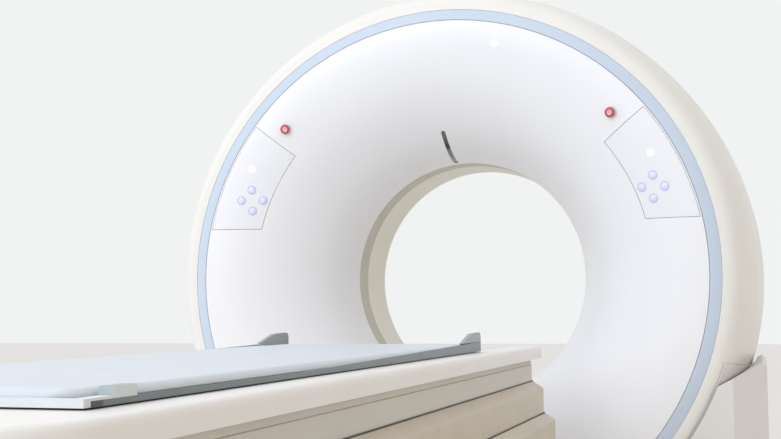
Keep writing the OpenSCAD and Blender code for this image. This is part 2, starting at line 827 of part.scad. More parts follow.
/* Couch */

// Carries a wall section, drawn as [distance inward, z], round a plan with rounded corners
module round_plan(half_w, foot, head, foot_r, head_r, section) {
    both_sides() {
        translate([0, head - head_r, 0]) rotate([90, 0, 0]) linear_extrude(head - head_r - foot - foot_r)
            polygon([for (p = section) [half_w - p[0], p[1]]]);
        translate([half_w - head_r, head - head_r, 0]) rotate_extrude(angle = 90, $fn = 64)
            polygon([for (p = section) [head_r - p[0], p[1]]]);
        translate([half_w - foot_r, foot + foot_r, 0]) rotate([0, 0, -90]) rotate_extrude(angle = 90, $fn = 64)
            polygon([for (p = section) [foot_r - p[0], p[1]]]);
    }
    for (end = [[head, 1, head_r], [foot, -1, foot_r]])
        translate([end[2] - half_w, 0, 0]) rotate([90, 0, 90]) linear_extrude(2 * (half_w - end[2]))
            polygon([for (p = section) [end[0] - end[1] * p[0], p[1]]]);
}

// A rounded plan as a flat shape
module plan_shape(half_w, foot, head, foot_r, head_r) {
    translate([-half_w, foot + foot_r]) square([2 * half_w, head - head_r - foot - foot_r]);
    translate([foot_r - half_w, foot]) square([2 * (half_w - foot_r), foot_r + past]);
    translate([head_r - half_w, head - head_r - past]) square([2 * (half_w - head_r), head_r + past]);
    for (s = [-1, 1]) {
        translate([s * (half_w - foot_r), foot + foot_r]) circle(r = foot_r, $fn = 64);
        translate([s * (half_w - head_r), head - head_r]) circle(r = head_r, $fn = 64);
    }
}

// A skirt wall: sloped shoulder at the top, upright side, and a catch flange at its lower end
function skirt_wall(top, low, catch) = concat(
    [[shoulder[0], top], [0, top - shoulder[1]], [0, low + 6]],
    catch > 0 ? [[-catch, low + 6], [-catch, low]] : [[0, low]],
    [[skirt_t, low], [skirt_t, top - shoulder[1] - 3], [shoulder[0], top - 5]]);

// The catch flange reaches to the running gap from the next skirt's inner wall
catch = shoulder[0] + skirt_gap - skirt_t - 0.5;
step_out = shoulder[0] + skirt_gap;

module skirt(level, top, low, reach) {
    grow = level * step_out;
    round_plan(band_half_w + grow, band_foot - grow, band_head + grow,
        band_corner_r + grow, band_corner_r + grow, skirt_wall(top, low, reach));
}

module couch_band() {
    color([0.72, 0.7, 0.66]) round_plan(band_half_w, band_foot, band_head, band_corner_r, band_corner_r,
        [[12, cover_low + 6], [0, cover_low - 16], [0, upper_top - skirt_overlap + 6],
            [-catch, upper_top - skirt_overlap + 6], [-catch, upper_top - skirt_overlap],
            [skirt_t, upper_top - skirt_overlap], [skirt_t, cover_low - 17],
            [12 + skirt_t, cover_low + 6]]);
}

module upper_skirt() {
    color([0.8, 0.76, 0.7]) skirt(1, upper_top, lower_top - skirt_overlap, catch);
}

module lower_skirt() {
    color([0.8, 0.76, 0.7]) skirt(2, lower_top, fixed_top - skirt_overlap, catch);
}

module base_skirt() {
    color([0.78, 0.74, 0.68]) skirt(3, fixed_top, plate_t, 0);
}

couch_anchor = [300, 700];
couch_mid = (band_foot + band_head) / 2;
module couch_base() {
    grow = 3 * step_out;
    color([0.45, 0.5, 0.55]) difference() {
        block([-band_half_w - grow, band_foot - grow + band_corner_r + grow, 0],
            [band_half_w + grow, band_head - band_corner_r, plate_t]);
        for (x = [-1, 1], y = [-1, 1])
            translate([x * couch_anchor[0], couch_mid + y * couch_anchor[1], -past])
                cylinder(r = anchor_r, h = plate_t + 2 * past, $fn = 32);
    }
}

// One tube of each lift column, standing at z
module column_tubes(r, z, long, wall) {
    for (y = column_places) translate([0, y, z]) difference() {
        cylinder(r = r, h = long, $fn = 64);
        translate([0, 0, -past]) cylinder(r = r - wall, h = long + 2 * past, $fn = 64);
    }
}

step_in = column_t + column_fit;
module column_outer_tubes() {
    color([0.6, 0.62, 0.64]) {
        column_tubes(column_r, plate_t, column_len, column_t);
        for (y = column_places) translate([0, y, plate_t]) difference() {
            cylinder(r = column_r + 30, h = 10, $fn = 64);
            translate([0, 0, -past]) cylinder(r = column_r - column_t, h = 12, $fn = 64);
        }
    }
}

module column_middle_tubes() {
    color([0.7, 0.72, 0.74])
        column_tubes(column_r - step_in, plate_t + 4 + lift_down / 2, column_len, column_t);
}

module column_inner_tubes() {
    color([0.78, 0.8, 0.82]) column_tubes(column_r - 2 * step_in, inner_low, frame_low - inner_low, column_t);
}

// Standing spindles that the lift motors climb
spindle_r = 15;
spindle_top = 408;
module lift_spindles() {
    color([0.75, 0.76, 0.78]) for (y = column_places) translate([0, y, plate_t]) {
        cylinder(r = spindle_r, h = spindle_top - plate_t, $fn = 48);
        cylinder(r = 45, h = 4, $fn = 48);
    }
}

inner_low = frame_low - column_len - 22;
inner_bore_r = column_r - 2 * step_in - column_t;
// Hollow motors in the lower ends of the inner tubes, each with its nut on the spindle
module lift_motors() {
    color([0.3, 0.32, 0.35]) for (y = column_places) translate([0, y, inner_low]) difference() {
        cylinder(r = inner_bore_r, h = 120, $fn = 64);
        translate([0, 0, -past]) cylinder(r = spindle_r + shaft_fit, h = 122, $fn = 48);
        translate([0, 0, 34]) cylinder(r = spindle_r + 5, h = 122, $fn = 48);
    }
}

module couch_frame() {
    head = band_head - 25;
    foot = channel_foot + 20;
    sheet = 2;
    color([0.55, 0.58, 0.6]) {
        both_sides() block([rail_x - 30, foot, frame_low], [rail_x + 40, head, frame_low + beam_h + past]);
        for (y = column_places) difference() {
            block([-rail_x + 30 - past, y - 110, frame_low], [rail_x - 30 + past, y + 110, frame_low + 20]);
            translate([0, y, frame_low - past]) cylinder(r = 25, h = 30, $fn = 32);
        }
        // arms that carry the grey band
        both_sides() for (y = [-900, -1500, -2100, -2700])
            block([rail_x + 40 - past, y - 20, frame_low + 6], [band_half_w - skirt_t, y + 20, frame_low + 36]);
        // channel of folded sheet that the tabletop runs in, with flanges under the deck
        difference() {
            union() {
                translate([0, head, 0]) rotate([90, 0, 0]) linear_extrude(head - channel_foot)
                    mirrored_section([[channel_half_w, channel_floor - sheet],
                        [channel_half_w, deck_h - skirt_t - sheet], [channel_half_w + 20, deck_h - skirt_t - sheet],
                        [channel_half_w + 20, deck_h - skirt_t], [channel_half_w - sheet, deck_h - skirt_t],
                        [channel_half_w - sheet, channel_floor]]);
                block([-channel_half_w, channel_foot, channel_floor - sheet],
                    [channel_half_w, channel_foot + sheet, deck_h - skirt_t]);
            }
            // opening of the roller drive
            block([-91, drive_y - 45, channel_floor - sheet - past], [91, drive_y + 45, channel_floor + past]);
        }
        // guide rails
        both_sides() block([rail_x - rail_w / 2, foot, channel_floor - past],
            [rail_x + rail_w / 2, head, channel_floor + rail_h]);
    }
}

module couch_cover() {
    head_r = 40;
    round_steps = [for (i = [0:6]) let (a = 90 * i / 6) [edge_r - edge_r * cos(a), deck_h - edge_r + edge_r * sin(a)]];
    section = concat([[0, cover_low]], round_steps,
        [[30, deck_h], [30, deck_h - skirt_t], [edge_r, deck_h - skirt_t], [skirt_t, deck_h - edge_r],
            [skirt_t, cover_low + skirt_t], [16, cover_low + skirt_t], [16, cover_low]]);
    color("whitesmoke") difference() {
        union() {
            round_plan(couch_half_w, couch_foot, couch_head, foot_corner_r, head_r, section);
            // deck
            translate([0, 0, deck_h - skirt_t]) linear_extrude(skirt_t)
                plan_shape(couch_half_w - 29, couch_foot + 29, couch_head - 29, foot_corner_r - 29, head_r - 29);
            // underside pan, open for the grey band
            translate([0, 0, cover_low]) linear_extrude(skirt_t) difference() {
                plan_shape(couch_half_w - 12, couch_foot + 12, couch_head - 12, foot_corner_r - 12, head_r - 12);
                plan_shape(band_half_w - 8.5, band_foot + 8.5, band_head - 8.5, band_corner_r - 8.5,
                    band_corner_r - 8.5);
            }
        }
        block([-channel_half_w - 0.3, channel_foot - 0.3, channel_floor - 3],
            [channel_half_w + 0.3, couch_head + past, deck_h + past]);
    }
}

/* Tabletop and its drive */

roller_z = top_low_z - running - roller_r;
module table_drive() {
    color([0.25, 0.27, 0.3]) {
        translate([0, drive_y, roller_z]) {
            bar_x(6, -80, 160);
            difference() {
                bar_x(26, 52, 30);
                bar_x(6 - past / 2, 50, 40);
            }
        }
        // bearing plates that stand on the frame's beams
        both_sides() translate([80, drive_y - 24, frame_low + 5]) cube([10, 48, roller_z + 12 - frame_low - 5]);
    }
}

module table_roller() {
    color([0.15, 0.15, 0.16]) translate([0, drive_y, roller_z]) difference() {
        bar_x(roller_r, -45, 90);
        bar_x(6 + shaft_fit, -46, 92);
    }
}

// A section given by its right half, from the lower to the upper line, and closed by its mirror image
module mirrored_section(half) {
    polygon(concat(half, [for (p = back_to_front(half)) [-p[0], p[1]]]));
}

plain_end = 110;

// The tabletop's section with sides h high: a shallow trough between two rails
module top_section(h) {
    mirrored_section([[top_flat, top_low_z], [top_half_w - 26, top_side_z], [top_half_w, top_side_z],
        [top_half_w, top_side_z + h], [top_half_w - 5, top_side_z + h],
        [top_half_w - 5, top_side_z + top_t], [top_half_w - 27, top_side_z + top_t],
        [top_flat, top_low_z + top_t]]);
}

// The section of its flat foot end
module end_section(h) {
    mirrored_section([[top_half_w, top_side_z], [top_half_w, top_side_z + h],
        [top_half_w - 5, top_side_z + h], [top_half_w - 5, top_side_z + top_t]]);
}

module tabletop() {
    rise_from = top_head - 1250;
    color([0.4, 0.44, 0.45]) difference() {
        union() {
            translate([0, top_head, 0]) rotate([90, 0, 0]) linear_extrude(top_len - plain_end)
                top_section(side_head_h);
            translate([0, top_foot + plain_end + top_t, 0]) rotate([90, 0, 0])
                linear_extrude(plain_end + top_t) end_section(side_head_h);
            // wall that closes the trough's foot end
            translate([0, top_foot + plain_end + top_t, 0]) rotate([90, 0, 0]) linear_extrude(top_t)
                mirrored_section([[top_flat, top_low_z], [top_half_w - 26, top_side_z]]);
        }
        // the sides grow from the foot end's height towards the head
        translate([-top_half_w - past, 0, 0]) rotate([90, 0, 90]) linear_extrude(2 * top_half_w + 2 * past)
            polygon([[top_foot - past, top_side_z + side_foot_h], [rise_from, top_side_z + side_foot_h],
                [top_head + past, top_side_z + side_head_h], [top_head + past, top_side_z + side_head_h + past],
                [top_foot - past, top_side_z + side_head_h + past]]);
    }
}

// Raised guards on both head corners of the tabletop
module tabletop_guards() {
    low = top_side_z + side_head_h;
    color([0.62, 0.66, 0.68]) both_sides() difference() {
        translate([top_half_w - 9, 0, 0]) rotate([90, 0, 90]) linear_extrude(9)
            polygon([[top_head - guard_len, top_side_z + side_foot_h], [top_head, top_side_z + side_foot_h],
                [top_head, low + guard_h - 12], [top_head - 4, low + guard_h - 4],
                [top_head - 12, low + guard_h], [top_head - guard_len + 90, low + guard_h - 2],
                [top_head - guard_len, low + 1]]);
        // slot that fits over the tabletop's side
        block([top_half_w - 5, top_head - guard_len - past, top_side_z], [top_half_w + past, top_head + past, low]);
    }
}

// Bar across the tabletop's foot end
module tabletop_end_bar() {
    color([0.7, 0.73, 0.75]) translate([0, top_foot, 0]) {
        block([-top_half_w, -14, top_side_z + 0.5], [top_half_w, 0, top_side_z + side_foot_h + 3]);
        both_sides() block([top_half_w - 18, -14, top_side_z + side_foot_h],
            [top_half_w, 100, top_side_z + side_foot_h + 3]);
        // raised blocks that keep the mattress from shifting
        both_sides() difference() {
            block([top_half_w - 18, 45, top_side_z + side_foot_h], [top_half_w, 100, deck_h + pad_h - 4]);
            translate([0, 45, deck_h + pad_h - 4]) rotate([45, 0, 0]) cube([2 * top_half_w, 6, 6], center = true);
        }
    }
}

module table_carriage() {
    long = 600;
    back = top_foot + plain_end + 20;
    color([0.5, 0.52, 0.55]) both_sides() difference() {
        block([rail_x - 28, back, channel_floor + 4], [rail_x + 28, back + long, top_low_z]);
        block([rail_x - rail_w / 2 - running, back - past, 0],
            [rail_x + rail_w / 2 + running, back + long + past, channel_floor + rail_h + running]);
    }
}

module mattress() {
    seat = top_low_z + top_t;
    side = top_side_z + top_t;
    top = deck_h + pad_h;
    edge = [[pad_half_w - 8, side], [pad_half_w, side + 4], [pad_half_w, top - 8], [pad_half_w - 4, top - 2],
        [pad_half_w - 12, top]];
    color("white") {
        translate([0, top_head - 40, 0]) rotate([90, 0, 0]) linear_extrude(top_len - plain_end - 55)
            mirrored_section(concat([[top_flat - 1, seat]], edge));
        // flat tail over the tabletop's plain end
        translate([0, top_foot + plain_end + 15 + past, 0]) rotate([90, 0, 0])
            linear_extrude(plain_end + past) mirrored_section(edge);
    }
}

base_frame();
gantry_frame();
front_cover();
trim_ring();
barrel_cover();
rear_cover();
scan_window();
bore_tube();
foot_cover_left();
foot_cover_right();
laser_window();
control_panel_left();
control_panel_right();
key_rings();
key_left_up();
key_left_down();
key_left_inner();
key_left_outer();
key_right_up();
key_right_down();
key_right_inner();
key_right_outer();
face_lamps();
stop_collars();
stop_button_left();
stop_button_right();
bearing_outer_race();
bearing_inner_race();
bearing_balls();
rotor_plate();
slip_ring();
brush_block();
tube_housing();
collimator();
detector_arc();
high_voltage_tanks();
tube_cooler();
balance_weights();
drive_motor();
drive_pulley();
drive_belt();
couch_base();
column_outer_tubes();
column_middle_tubes();
column_inner_tubes();
lift_spindles();
lift_motors();
base_skirt();
lower_skirt();
upper_skirt();
couch_band();
couch_cover();
couch_frame();
table_drive();
table_roller();
tabletop();
tabletop_guards();
tabletop_end_bar();
table_carriage();
mattress();
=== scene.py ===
# Looks for the computed tomography scanner. Metres, +Z up, origin on the floor under the scan plane's centre.
import math
import bpy
import bmesh
import numpy as np
from mathutils import Matrix, Vector
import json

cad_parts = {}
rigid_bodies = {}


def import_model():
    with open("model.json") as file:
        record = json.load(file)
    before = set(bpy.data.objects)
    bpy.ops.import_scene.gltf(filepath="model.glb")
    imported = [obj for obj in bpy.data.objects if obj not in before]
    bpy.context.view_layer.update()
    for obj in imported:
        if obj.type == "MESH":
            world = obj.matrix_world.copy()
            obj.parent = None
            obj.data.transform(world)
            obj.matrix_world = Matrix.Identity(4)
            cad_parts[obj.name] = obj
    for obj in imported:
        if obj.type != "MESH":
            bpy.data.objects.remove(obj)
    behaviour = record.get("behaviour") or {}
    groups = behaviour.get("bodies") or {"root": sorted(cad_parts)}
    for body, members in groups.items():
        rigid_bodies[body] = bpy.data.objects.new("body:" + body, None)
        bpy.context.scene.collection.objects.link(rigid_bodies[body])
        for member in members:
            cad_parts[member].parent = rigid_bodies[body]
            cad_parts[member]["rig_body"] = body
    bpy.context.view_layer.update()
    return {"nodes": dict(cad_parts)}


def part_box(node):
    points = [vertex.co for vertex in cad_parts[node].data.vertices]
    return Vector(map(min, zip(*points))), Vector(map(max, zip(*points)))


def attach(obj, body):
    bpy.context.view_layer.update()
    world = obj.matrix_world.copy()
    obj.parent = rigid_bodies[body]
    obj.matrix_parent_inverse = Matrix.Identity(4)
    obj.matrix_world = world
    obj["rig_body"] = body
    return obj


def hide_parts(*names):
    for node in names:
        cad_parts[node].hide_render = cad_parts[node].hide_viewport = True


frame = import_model()
print("stage: frame loaded, nodes:", len(frame["nodes"]))

# Camera at the photograph's view: angles in radians, lens for a 36 mm wide sensor on a 781 by 439 image
cameraLook = dict(spot=(0.935, -4.155, 0.9026), yaw=0.2935, pitch=0.0760, roll=-0.0063, lensMm=56.27)
yaw, pitch, roll = cameraLook["yaw"], cameraLook["pitch"], cameraLook["roll"]
right = Vector((math.cos(yaw), math.sin(yaw), 0))
ahead = Vector((-math.sin(yaw) * math.cos(pitch), math.cos(yaw) * math.cos(pitch), math.sin(pitch)))
above = right.cross(ahead)
rolledRight = math.cos(roll) * right + math.sin(roll) * above
rolledUp = -math.sin(roll) * right + math.cos(roll) * above
cameraData = bpy.data.cameras.new("view")
cameraData.lens = cameraLook["lensMm"]
cameraData.sensor_width = 36
cameraObject = bpy.data.objects.new("view", cameraData)
bpy.context.scene.collection.objects.link(cameraObject)
turn = Matrix((rolledRight, rolledUp, -ahead)).transposed()
cameraObject.matrix_world = Matrix.Translation(cameraLook["spot"]) @ turn.to_4x4()
bpy.context.scene.camera = cameraObject
print("stage: camera")


# Colour values are written as on a screen and turned to linear here
def toLinear(hexText):
    values = [int(hexText[i:i + 2], 16) / 255 for i in (0, 2, 4)]
    return tuple(v / 12.92 if v <= 0.04045 else ((v + 0.055) / 1.055) ** 2.4 for v in values) + (1.0,)


# One node: its settings, then its inputs, where a socket is linked and any other value is set
def addNode(tree, kind, inputs=None, **settings):
    made = tree.nodes.new(kind)
    for key, value in settings.items():
        setattr(made, key, value)
    for key, value in (inputs or {}).items():
        if isinstance(value, bpy.types.NodeSocket):
            tree.links.new(value, made.inputs[key])
        else:
            made.inputs[key].default_value = value
    return made


# Each material: colour and second colour of its mottling, roughness and its change, grain and mottling sizes in mm.
# Real grain on ground, drawn and moulded skins is 0.1 to 0.5 mm; it is drawn at 0.6 mm and more, so that it shows.
materialLooks = dict(
    # glass fibre shell sprayed with satin paint: a broad soft shine and a faint orange peel
    sprayedFibreglassWhite=dict(color="F8F8FA", second="F3F3F5", rough=0.34, roughChange=0.05, grainMm=1.6,
                                grainDeepMm=0.012, mottleMm=260, coat=0.12, ior=1.52),
    # the same shell in a creamier paint, a little duller, so its edges fade softly
    sprayedFibreglassCream=dict(color="F2F0EA", second="ECE9E1", rough=0.36, roughChange=0.05, grainMm=1.8,
                                grainDeepMm=0.012, mottleMm=300, coat=0.1, ior=1.52),
    # ABS sheet, vacuum formed: slightly wavy shine, warmer than the paint
    formedAbsWarm=dict(color="E7E4E0", second="E3E0DB", rough=0.4, roughChange=0.06, grainMm=1.4,
                       grainDeepMm=0.015, mottleMm=180, ior=1.54),
    # ABS, injection moulded in a pale blue: even colour, small highlights
    mouldedAbsBlue=dict(color="CFDBE9", second="C7D4E4", rough=0.38, roughChange=0.05, grainMm=1.2,
                        grainDeepMm=0.008, mottleMm=220, ior=1.54),
    # ABS sheet, vacuum formed in ivory: smooth with a low gloss
    formedAbsIvory=dict(color="F5F3EF", second="EEEAE3", rough=0.36, roughChange=0.05, grainMm=1.5,
                        grainDeepMm=0.012, mottleMm=160, ior=1.54),
    # ABS sheet, vacuum formed in beige: matter than the top, so the folds read as tone
    formedAbsBeige=dict(color="D1C6B3", second="CDC1AD", rough=0.42, roughChange=0.06, grainMm=1.4,
                        grainDeepMm=0.014, mottleMm=150, ior=1.54),
    # aluminium strip, powder coated: matt with a dry fine grain; paler than its own grey, as painted light against the
    # shade under the cover's overhang
    stripPaintedLight=dict(color="DBD7CF", second="D3CEC4", rough=0.5, roughChange=0.03, grainMm=1.2,
                           grainDeepMm=0.02, mottleMm=240),
    # polyester film pulled tight over the scan gap: pale olive, barely shiny
    polyesterFilm=dict(color="CBC8B8", second="C1BEAE", rough=0.45, roughChange=0.05, grainMm=1.0,
                       grainDeepMm=0.01, mottleMm=80, ior=1.57),
    # glass fibre tube with a cream gel coat: a soft long highlight along the bore
    gelCoatedTube=dict(color="F0EEE4", second="E9E6DA", rough=0.4, roughChange=0.05, grainMm=1.2, grainDeepMm=0.01,
                       mottleMm=140, ior=1.55),
    # moulded ABS under a plain overlay film: cooler white and smoother than the shell round it
    overlaidAbsPanel=dict(color="F6F6F8", second="F0F1F5", rough=0.33, roughChange=0.04, grainMm=1.0,
                          grainDeepMm=0.008, mottleMm=60, coat=0.1, ior=1.57),
    # polycarbonate keys moulded with a frosted face: light scatters, so they look milky
    frostedPolycarbonate=dict(color="EDEEFB", second="E6E8F9", rough=0.3, roughChange=0.04, grainMm=0.6,
                              grainDeepMm=0.004, mottleMm=12, ior=1.58),
    # polycarbonate rings lit from behind: an even pale violet glow
    litPolycarbonate=dict(color="BFC4F3", second="B5BBF0", rough=0.3, roughChange=0.04, grainMm=0.6,
                          grainDeepMm=0.003, mottleMm=8, glow=0.2, ior=1.58),
    # opal acrylic domes lit from behind: almost white, with a small sharp highlight
    litAcrylic=dict(color="FBFCFD", second="F6F8FA", rough=0.2, roughChange=0.04, grainMm=0.8, grainDeepMm=0.003,
                    mottleMm=10, glow=0.32, ior=1.49),
    # moulded ABS collar: plain grey with a crisp rim
    mouldedAbsCollar=dict(color="DCDDE2", second="D2D4DA", rough=0.35, roughChange=0.05, grainMm=0.8,
                          grainDeepMm=0.006, mottleMm=15, ior=1.54),
    # glossy moulded ABS, deep red: one sharp highlight on each button
    glossyAbsRed=dict(color="D23A46", second="C8313E", rough=0.22, roughChange=0.05, grainMm=0.8,
                      grainDeepMm=0.004, mottleMm=9, coat=0.6, ior=1.54),
    # welded steel, powder coated mid grey: matt and slightly pebbled
    powderCoatedSteel=dict(color="8E969E", second="858D96", rough=0.5, roughChange=0.08, grainMm=1.1,
                           grainDeepMm=0.03, mottleMm=60),
    # floor steel, powder coated dark grey: matt and pebbled
    darkPowderCoatedSteel=dict(color="6E767E", second="666E77", rough=0.55, roughChange=0.08, grainMm=1.1,
                               grainDeepMm=0.03, mottleMm=70),
    # hardened steel, ground: bright, with tight reflections
    groundBearingSteel=dict(color="B9BCC0", second="AEB1B6", rough=0.22, roughChange=0.06, grainMm=0.9,
                            grainDeepMm=0.004, mottleMm=30, metal=1.0),
    # sand cast aluminium, machined only where it mates: dull silver with a rough skin
    castAluminium=dict(color="B4B7BB", second="A8ABB0", rough=0.45, roughChange=0.1, grainMm=1.0, grainDeepMm=0.03,
                       mottleMm=25, metal=1.0),
    # aluminium, black anodised: dark satin metal
    anodisedAluminium=dict(color="5A5F66", second="50555C", rough=0.42, roughChange=0.08, grainMm=0.8,
                           grainDeepMm=0.01, mottleMm=25, metal=1.0),
    # brass tracks turned on a lathe: warm bright metal
    turnedBrass=dict(color="C9A45F", second="BB9550", rough=0.28, roughChange=0.1, grainMm=0.7, grainDeepMm=0.01,
                     mottleMm=18, metal=1.0),
    # phenolic resin, moulded: near black and dull
    mouldedPhenolic=dict(color="35373B", second="2E3034", rough=0.5, roughChange=0.08, grainMm=0.8,
                         grainDeepMm=0.01, mottleMm=15, ior=1.6),
    # folded steel tanks, enamelled pale grey: smooth with a low gloss
    enamelledSteel=dict(color="A9B0B6", second="9FA6AD", rough=0.45, roughChange=0.08, grainMm=1.0,
                        grainDeepMm=0.02, mottleMm=50),
    # bare cast iron: dark, coarse and nearly matt
    bareCastIron=dict(color="5A5F66", second="50555C", rough=0.6, roughChange=0.08, grainMm=1.6, grainDeepMm=0.08,
                      mottleMm=20, metal=1.0),
    # cast iron housings, painted charcoal: low gloss over a cast skin
    paintedCastIron=dict(color="3E4349", second="363B41", rough=0.45, roughChange=0.08, grainMm=0.9,
                         grainDeepMm=0.02, mottleMm=30),
    # cold drawn steel tube: long soft metal reflections
    drawnSteelTube=dict(color="A9ADB2", second="9DA1A7", rough=0.3, roughChange=0.08, grainMm=0.6,
                        grainDeepMm=0.006, mottleMm=40, metal=1.0),
    # neoprene, moulded: black and dry
    mouldedNeoprene=dict(color="242527", second="1E1F21", rough=0.7, roughChange=0.08, grainMm=0.8,
                         grainDeepMm=0.03, mottleMm=15, ior=1.52),
    # carbon fibre skins lacquered grey, black at the foot end: a thin clear gloss on a flat colour
    lacqueredCarbonFibre=dict(rough=0.38, roughChange=0.02, grainMm=0.9, grainDeepMm=0.01, mottleMm=160, coat=0.2,
                              alongY=[(-3.2, "33383B"), (-2.9875, "33383B"), (-2.985, "6C777B"), (-1.0, "707B7E")],
                              ior=1.54),
    # ABS, moulded grey: satin, a little cool
    mouldedAbsGrey=dict(color="A9B2B5", second="A0A9AD", rough=0.4, roughChange=0.06, grainMm=0.9,
                        grainDeepMm=0.01, mottleMm=30, ior=1.54),
    # nylon cloth coated with polyurethane: a soft sheen and fine creases in the coat
    coatedNylonCloth=dict(color="D9E0E5", second="D2D9E0", rough=0.42, roughChange=0.07, grainMm=1.1,
                          grainDeepMm=0.035, mottleMm=70, ior=1.5),
    # tinted acrylic in two parts, grey in front, then a black break, then a bluish to brown end that is painted
    # reflection of the room: glassy
    acrylicPaintedReflection=dict(rough=0.16, roughChange=0.03, grainMm=2.0, grainDeepMm=0.002, mottleMm=30, coat=0.5,
                       alongY=[(-0.355, "6A6B6E"), (-0.303, "58595C"), (-0.299, "0A0A0C"), (-0.279, "0A0A0C"),
                               (-0.275, "6E7088"), (-0.205, "7A7684"), (-0.165, "9A7460")],
                       ior=1.49),
    # ABS, moulded very pale grey: satin
    mouldedAbsPale=dict(color="E3E7E9", second="DADFE2", rough=0.42, roughChange=0.04, grainMm=0.9,
                        grainDeepMm=0.01, mottleMm=60, ior=1.54),
    # painted highlight on the red buttons: a pink disc of glare from the lamps above, glossy, with a hard highlight of
    # its own
    paintedGlarePink=dict(color="F3B3B8", second="EDA5AB", rough=0.14, roughChange=0.03, grainMm=0.8,
                      grainDeepMm=0.002, mottleMm=9, coat=0.8, ior=1.58),
    # lining of the panel pockets, mid grey as painted shade of the gap round the panels: dull
    pocketPaintedShade=dict(color="858380", second="7C7A77", rough=0.8, roughChange=0.05, grainMm=0.9, grainDeepMm=0.03,
                 mottleMm=20),
    # rubber strips in the couch's gaps, brown grey as painted shade of the gaps: matt
    gapRubberPaintedShade=dict(color="4A4641", second="413D39", rough=0.6, roughChange=0.05, grainMm=0.8,
                        grainDeepMm=0.02, mottleMm=20, ior=1.52),
)


# A colour that changes along the part's length, from a list of places in metres and their colours
def colorAlongY(tree, place, stops):
    first, last = stops[0][0], stops[-1][0]
    y = addNode(tree, "ShaderNodeSeparateXYZ", {0: place}).outputs["Y"]
    share = addNode(tree, "ShaderNodeMapRange", {0: y, 1: first, 2: last})
    ramp = addNode(tree, "ShaderNodeValToRGB", {0: share.outputs[0]})
    steps = ramp.color_ramp.elements
    while len(steps) < len(stops):
        steps.new(0.5)
    for step, (spot, text) in zip(steps, stops):
        step.position = (spot - first) / (last - first)
        step.color = toLinear(text)
    return ramp.outputs[0]


# Every finish is built alike: a mottled colour, a smeared roughness and a fine grain that bumps the surface
def makeMaterial(name, look):
    material = bpy.data.materials.new(name)
    material.use_nodes = True
    tree = material.node_tree
    tree.nodes.clear()
    place = addNode(tree, "ShaderNodeTexCoord").outputs["Object"]
    if "alongY" in look:
        color = colorAlongY(tree, place, look["alongY"])
    else:
        mottle = addNode(tree, "ShaderNodeTexNoise", {"Vector": place, "Scale": 1000 / look["mottleMm"],
                                                      "Detail": 3.0})
        color = addNode(tree, "ShaderNodeMix", {0: mottle.outputs[0], 6: toLinear(look["color"]),
                                                7: toLinear(look["second"])}, data_type="RGBA").outputs[2]
    smear = addNode(tree, "ShaderNodeTexNoise", {"Vector": place, "Scale": 2200 / look["mottleMm"], "Detail": 4.0})
    rough = addNode(tree, "ShaderNodeMapRange", {0: smear.outputs[0], 1: 0.3, 2: 0.7,
                                                 3: look["rough"] - look["roughChange"],
                                                 4: look["rough"] + look["roughChange"]})
    grain = addNode(tree, "ShaderNodeTexNoise", {"Vector": place, "Scale": 1000 / look["grainMm"], "Detail": 2.0})
    bump = addNode(tree, "ShaderNodeBump", {"Height": grain.outputs[0], "Strength": 1.0,
                                            "Distance": look["grainDeepMm"] / 1000})
    shader = addNode(tree, "ShaderNodeBsdfPrincipled", {
        "Base Color": color, "Roughness": rough.outputs[0], "Normal": bump.outputs[0],
        "Metallic": look.get("metal", 0.0), "IOR": look.get("ior", 1.5),
        "Coat Weight": look.get("coat", 0.0), "Coat Roughness": 0.15})
    if "glow" in look:
        tree.links.new(color, shader.inputs["Emission Color"])
        shader.inputs["Emission Strength"].default_value = look["glow"]
    addNode(tree, "ShaderNodeOutputMaterial", {"Surface": shader.outputs[0]})
    return material


materials = {name: makeMaterial(name, look) for name, look in materialLooks.items()}
print("stage: materials", len(materials))


# A new piece from its points and faces: smooth but for edges sharper than an angle, riding on a body
def meshPiece(name, points, faces, body, material, replaces=(), sharpDeg=35.0):
    mesh = bpy.data.meshes.new(name)
    mesh.from_pydata(np.asarray(points, float).tolist(), [], [list(map(int, f)) for f in faces])
    mesh.validate()
    mesh.shade_smooth()
    mesh.set_sharp_from_angle(angle=math.radians(sharpDeg))
    made = bpy.data.objects.new(name, mesh)
    bpy.context.scene.collection.objects.link(made)
    mesh.materials.append(materials[material])
    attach(made, body)
    if replaces:
        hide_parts(*replaces)
    return made


# Quads between neighbouring rows and columns of a grid of points
def gridFaces(rows, columns, closed=False, start=0):
    i, j = np.meshgrid(np.arange(rows - 1), np.arange(columns if closed else columns - 1), indexing="ij")
    k = (j + 1) % columns
    quads = np.stack([i * columns + j, i * columns + k, (i + 1) * columns + k, (i + 1) * columns + j], -1)
    return quads.reshape(-1, 4) + start


# The gantry's sizes in metres; faceY and flatY are the ring's outer and inner front, ledgeY the ledge behind it
gantry = dict(iso=1.015, bore=0.390, faceY=-0.505, flatY=-0.514, ledgeY=-0.489, ringR=0.831, ringW=0.034,
              seam=0.002, rimRoll=0.004, mouthPower=1.87, tubeHalf=0.140, drumR=0.947, drumPower=2.87,
              drumSwell=0.950, drumStart=0.0003, rearSeam=0.295, wall=0.006, turnSteps=288)
rimR = gantry["ringR"] - gantry["ringW"] - gantry["seam"]
mouthR = rimR - gantry["rimRoll"]


# Points of a section, given as radius and y, turned about the bore axis; angle 0 is the top, growing to the right
def turned(section, angles):
    radius, y = np.asarray(section)[:, 0][:, None], np.asarray(section)[:, 1][:, None]
    a = np.asarray(angles)[None, :]
    return np.stack([radius * np.sin(a), y + 0 * a, gantry["iso"] + radius * np.cos(a)], -1)


# A closed ring of a section, turned all the way round
def turnedPiece(name, section, body, material, replaces=(), sharpDeg=35.0):
    angles = np.linspace(0, 2 * math.pi, gantry["turnSteps"], endpoint=False)
    grid = turned(section, angles)
    faces = gridFaces(len(section), len(angles), closed=True)
    return meshPiece(name, grid.reshape(-1, 3), faces, body, material, replaces, sharpDeg)


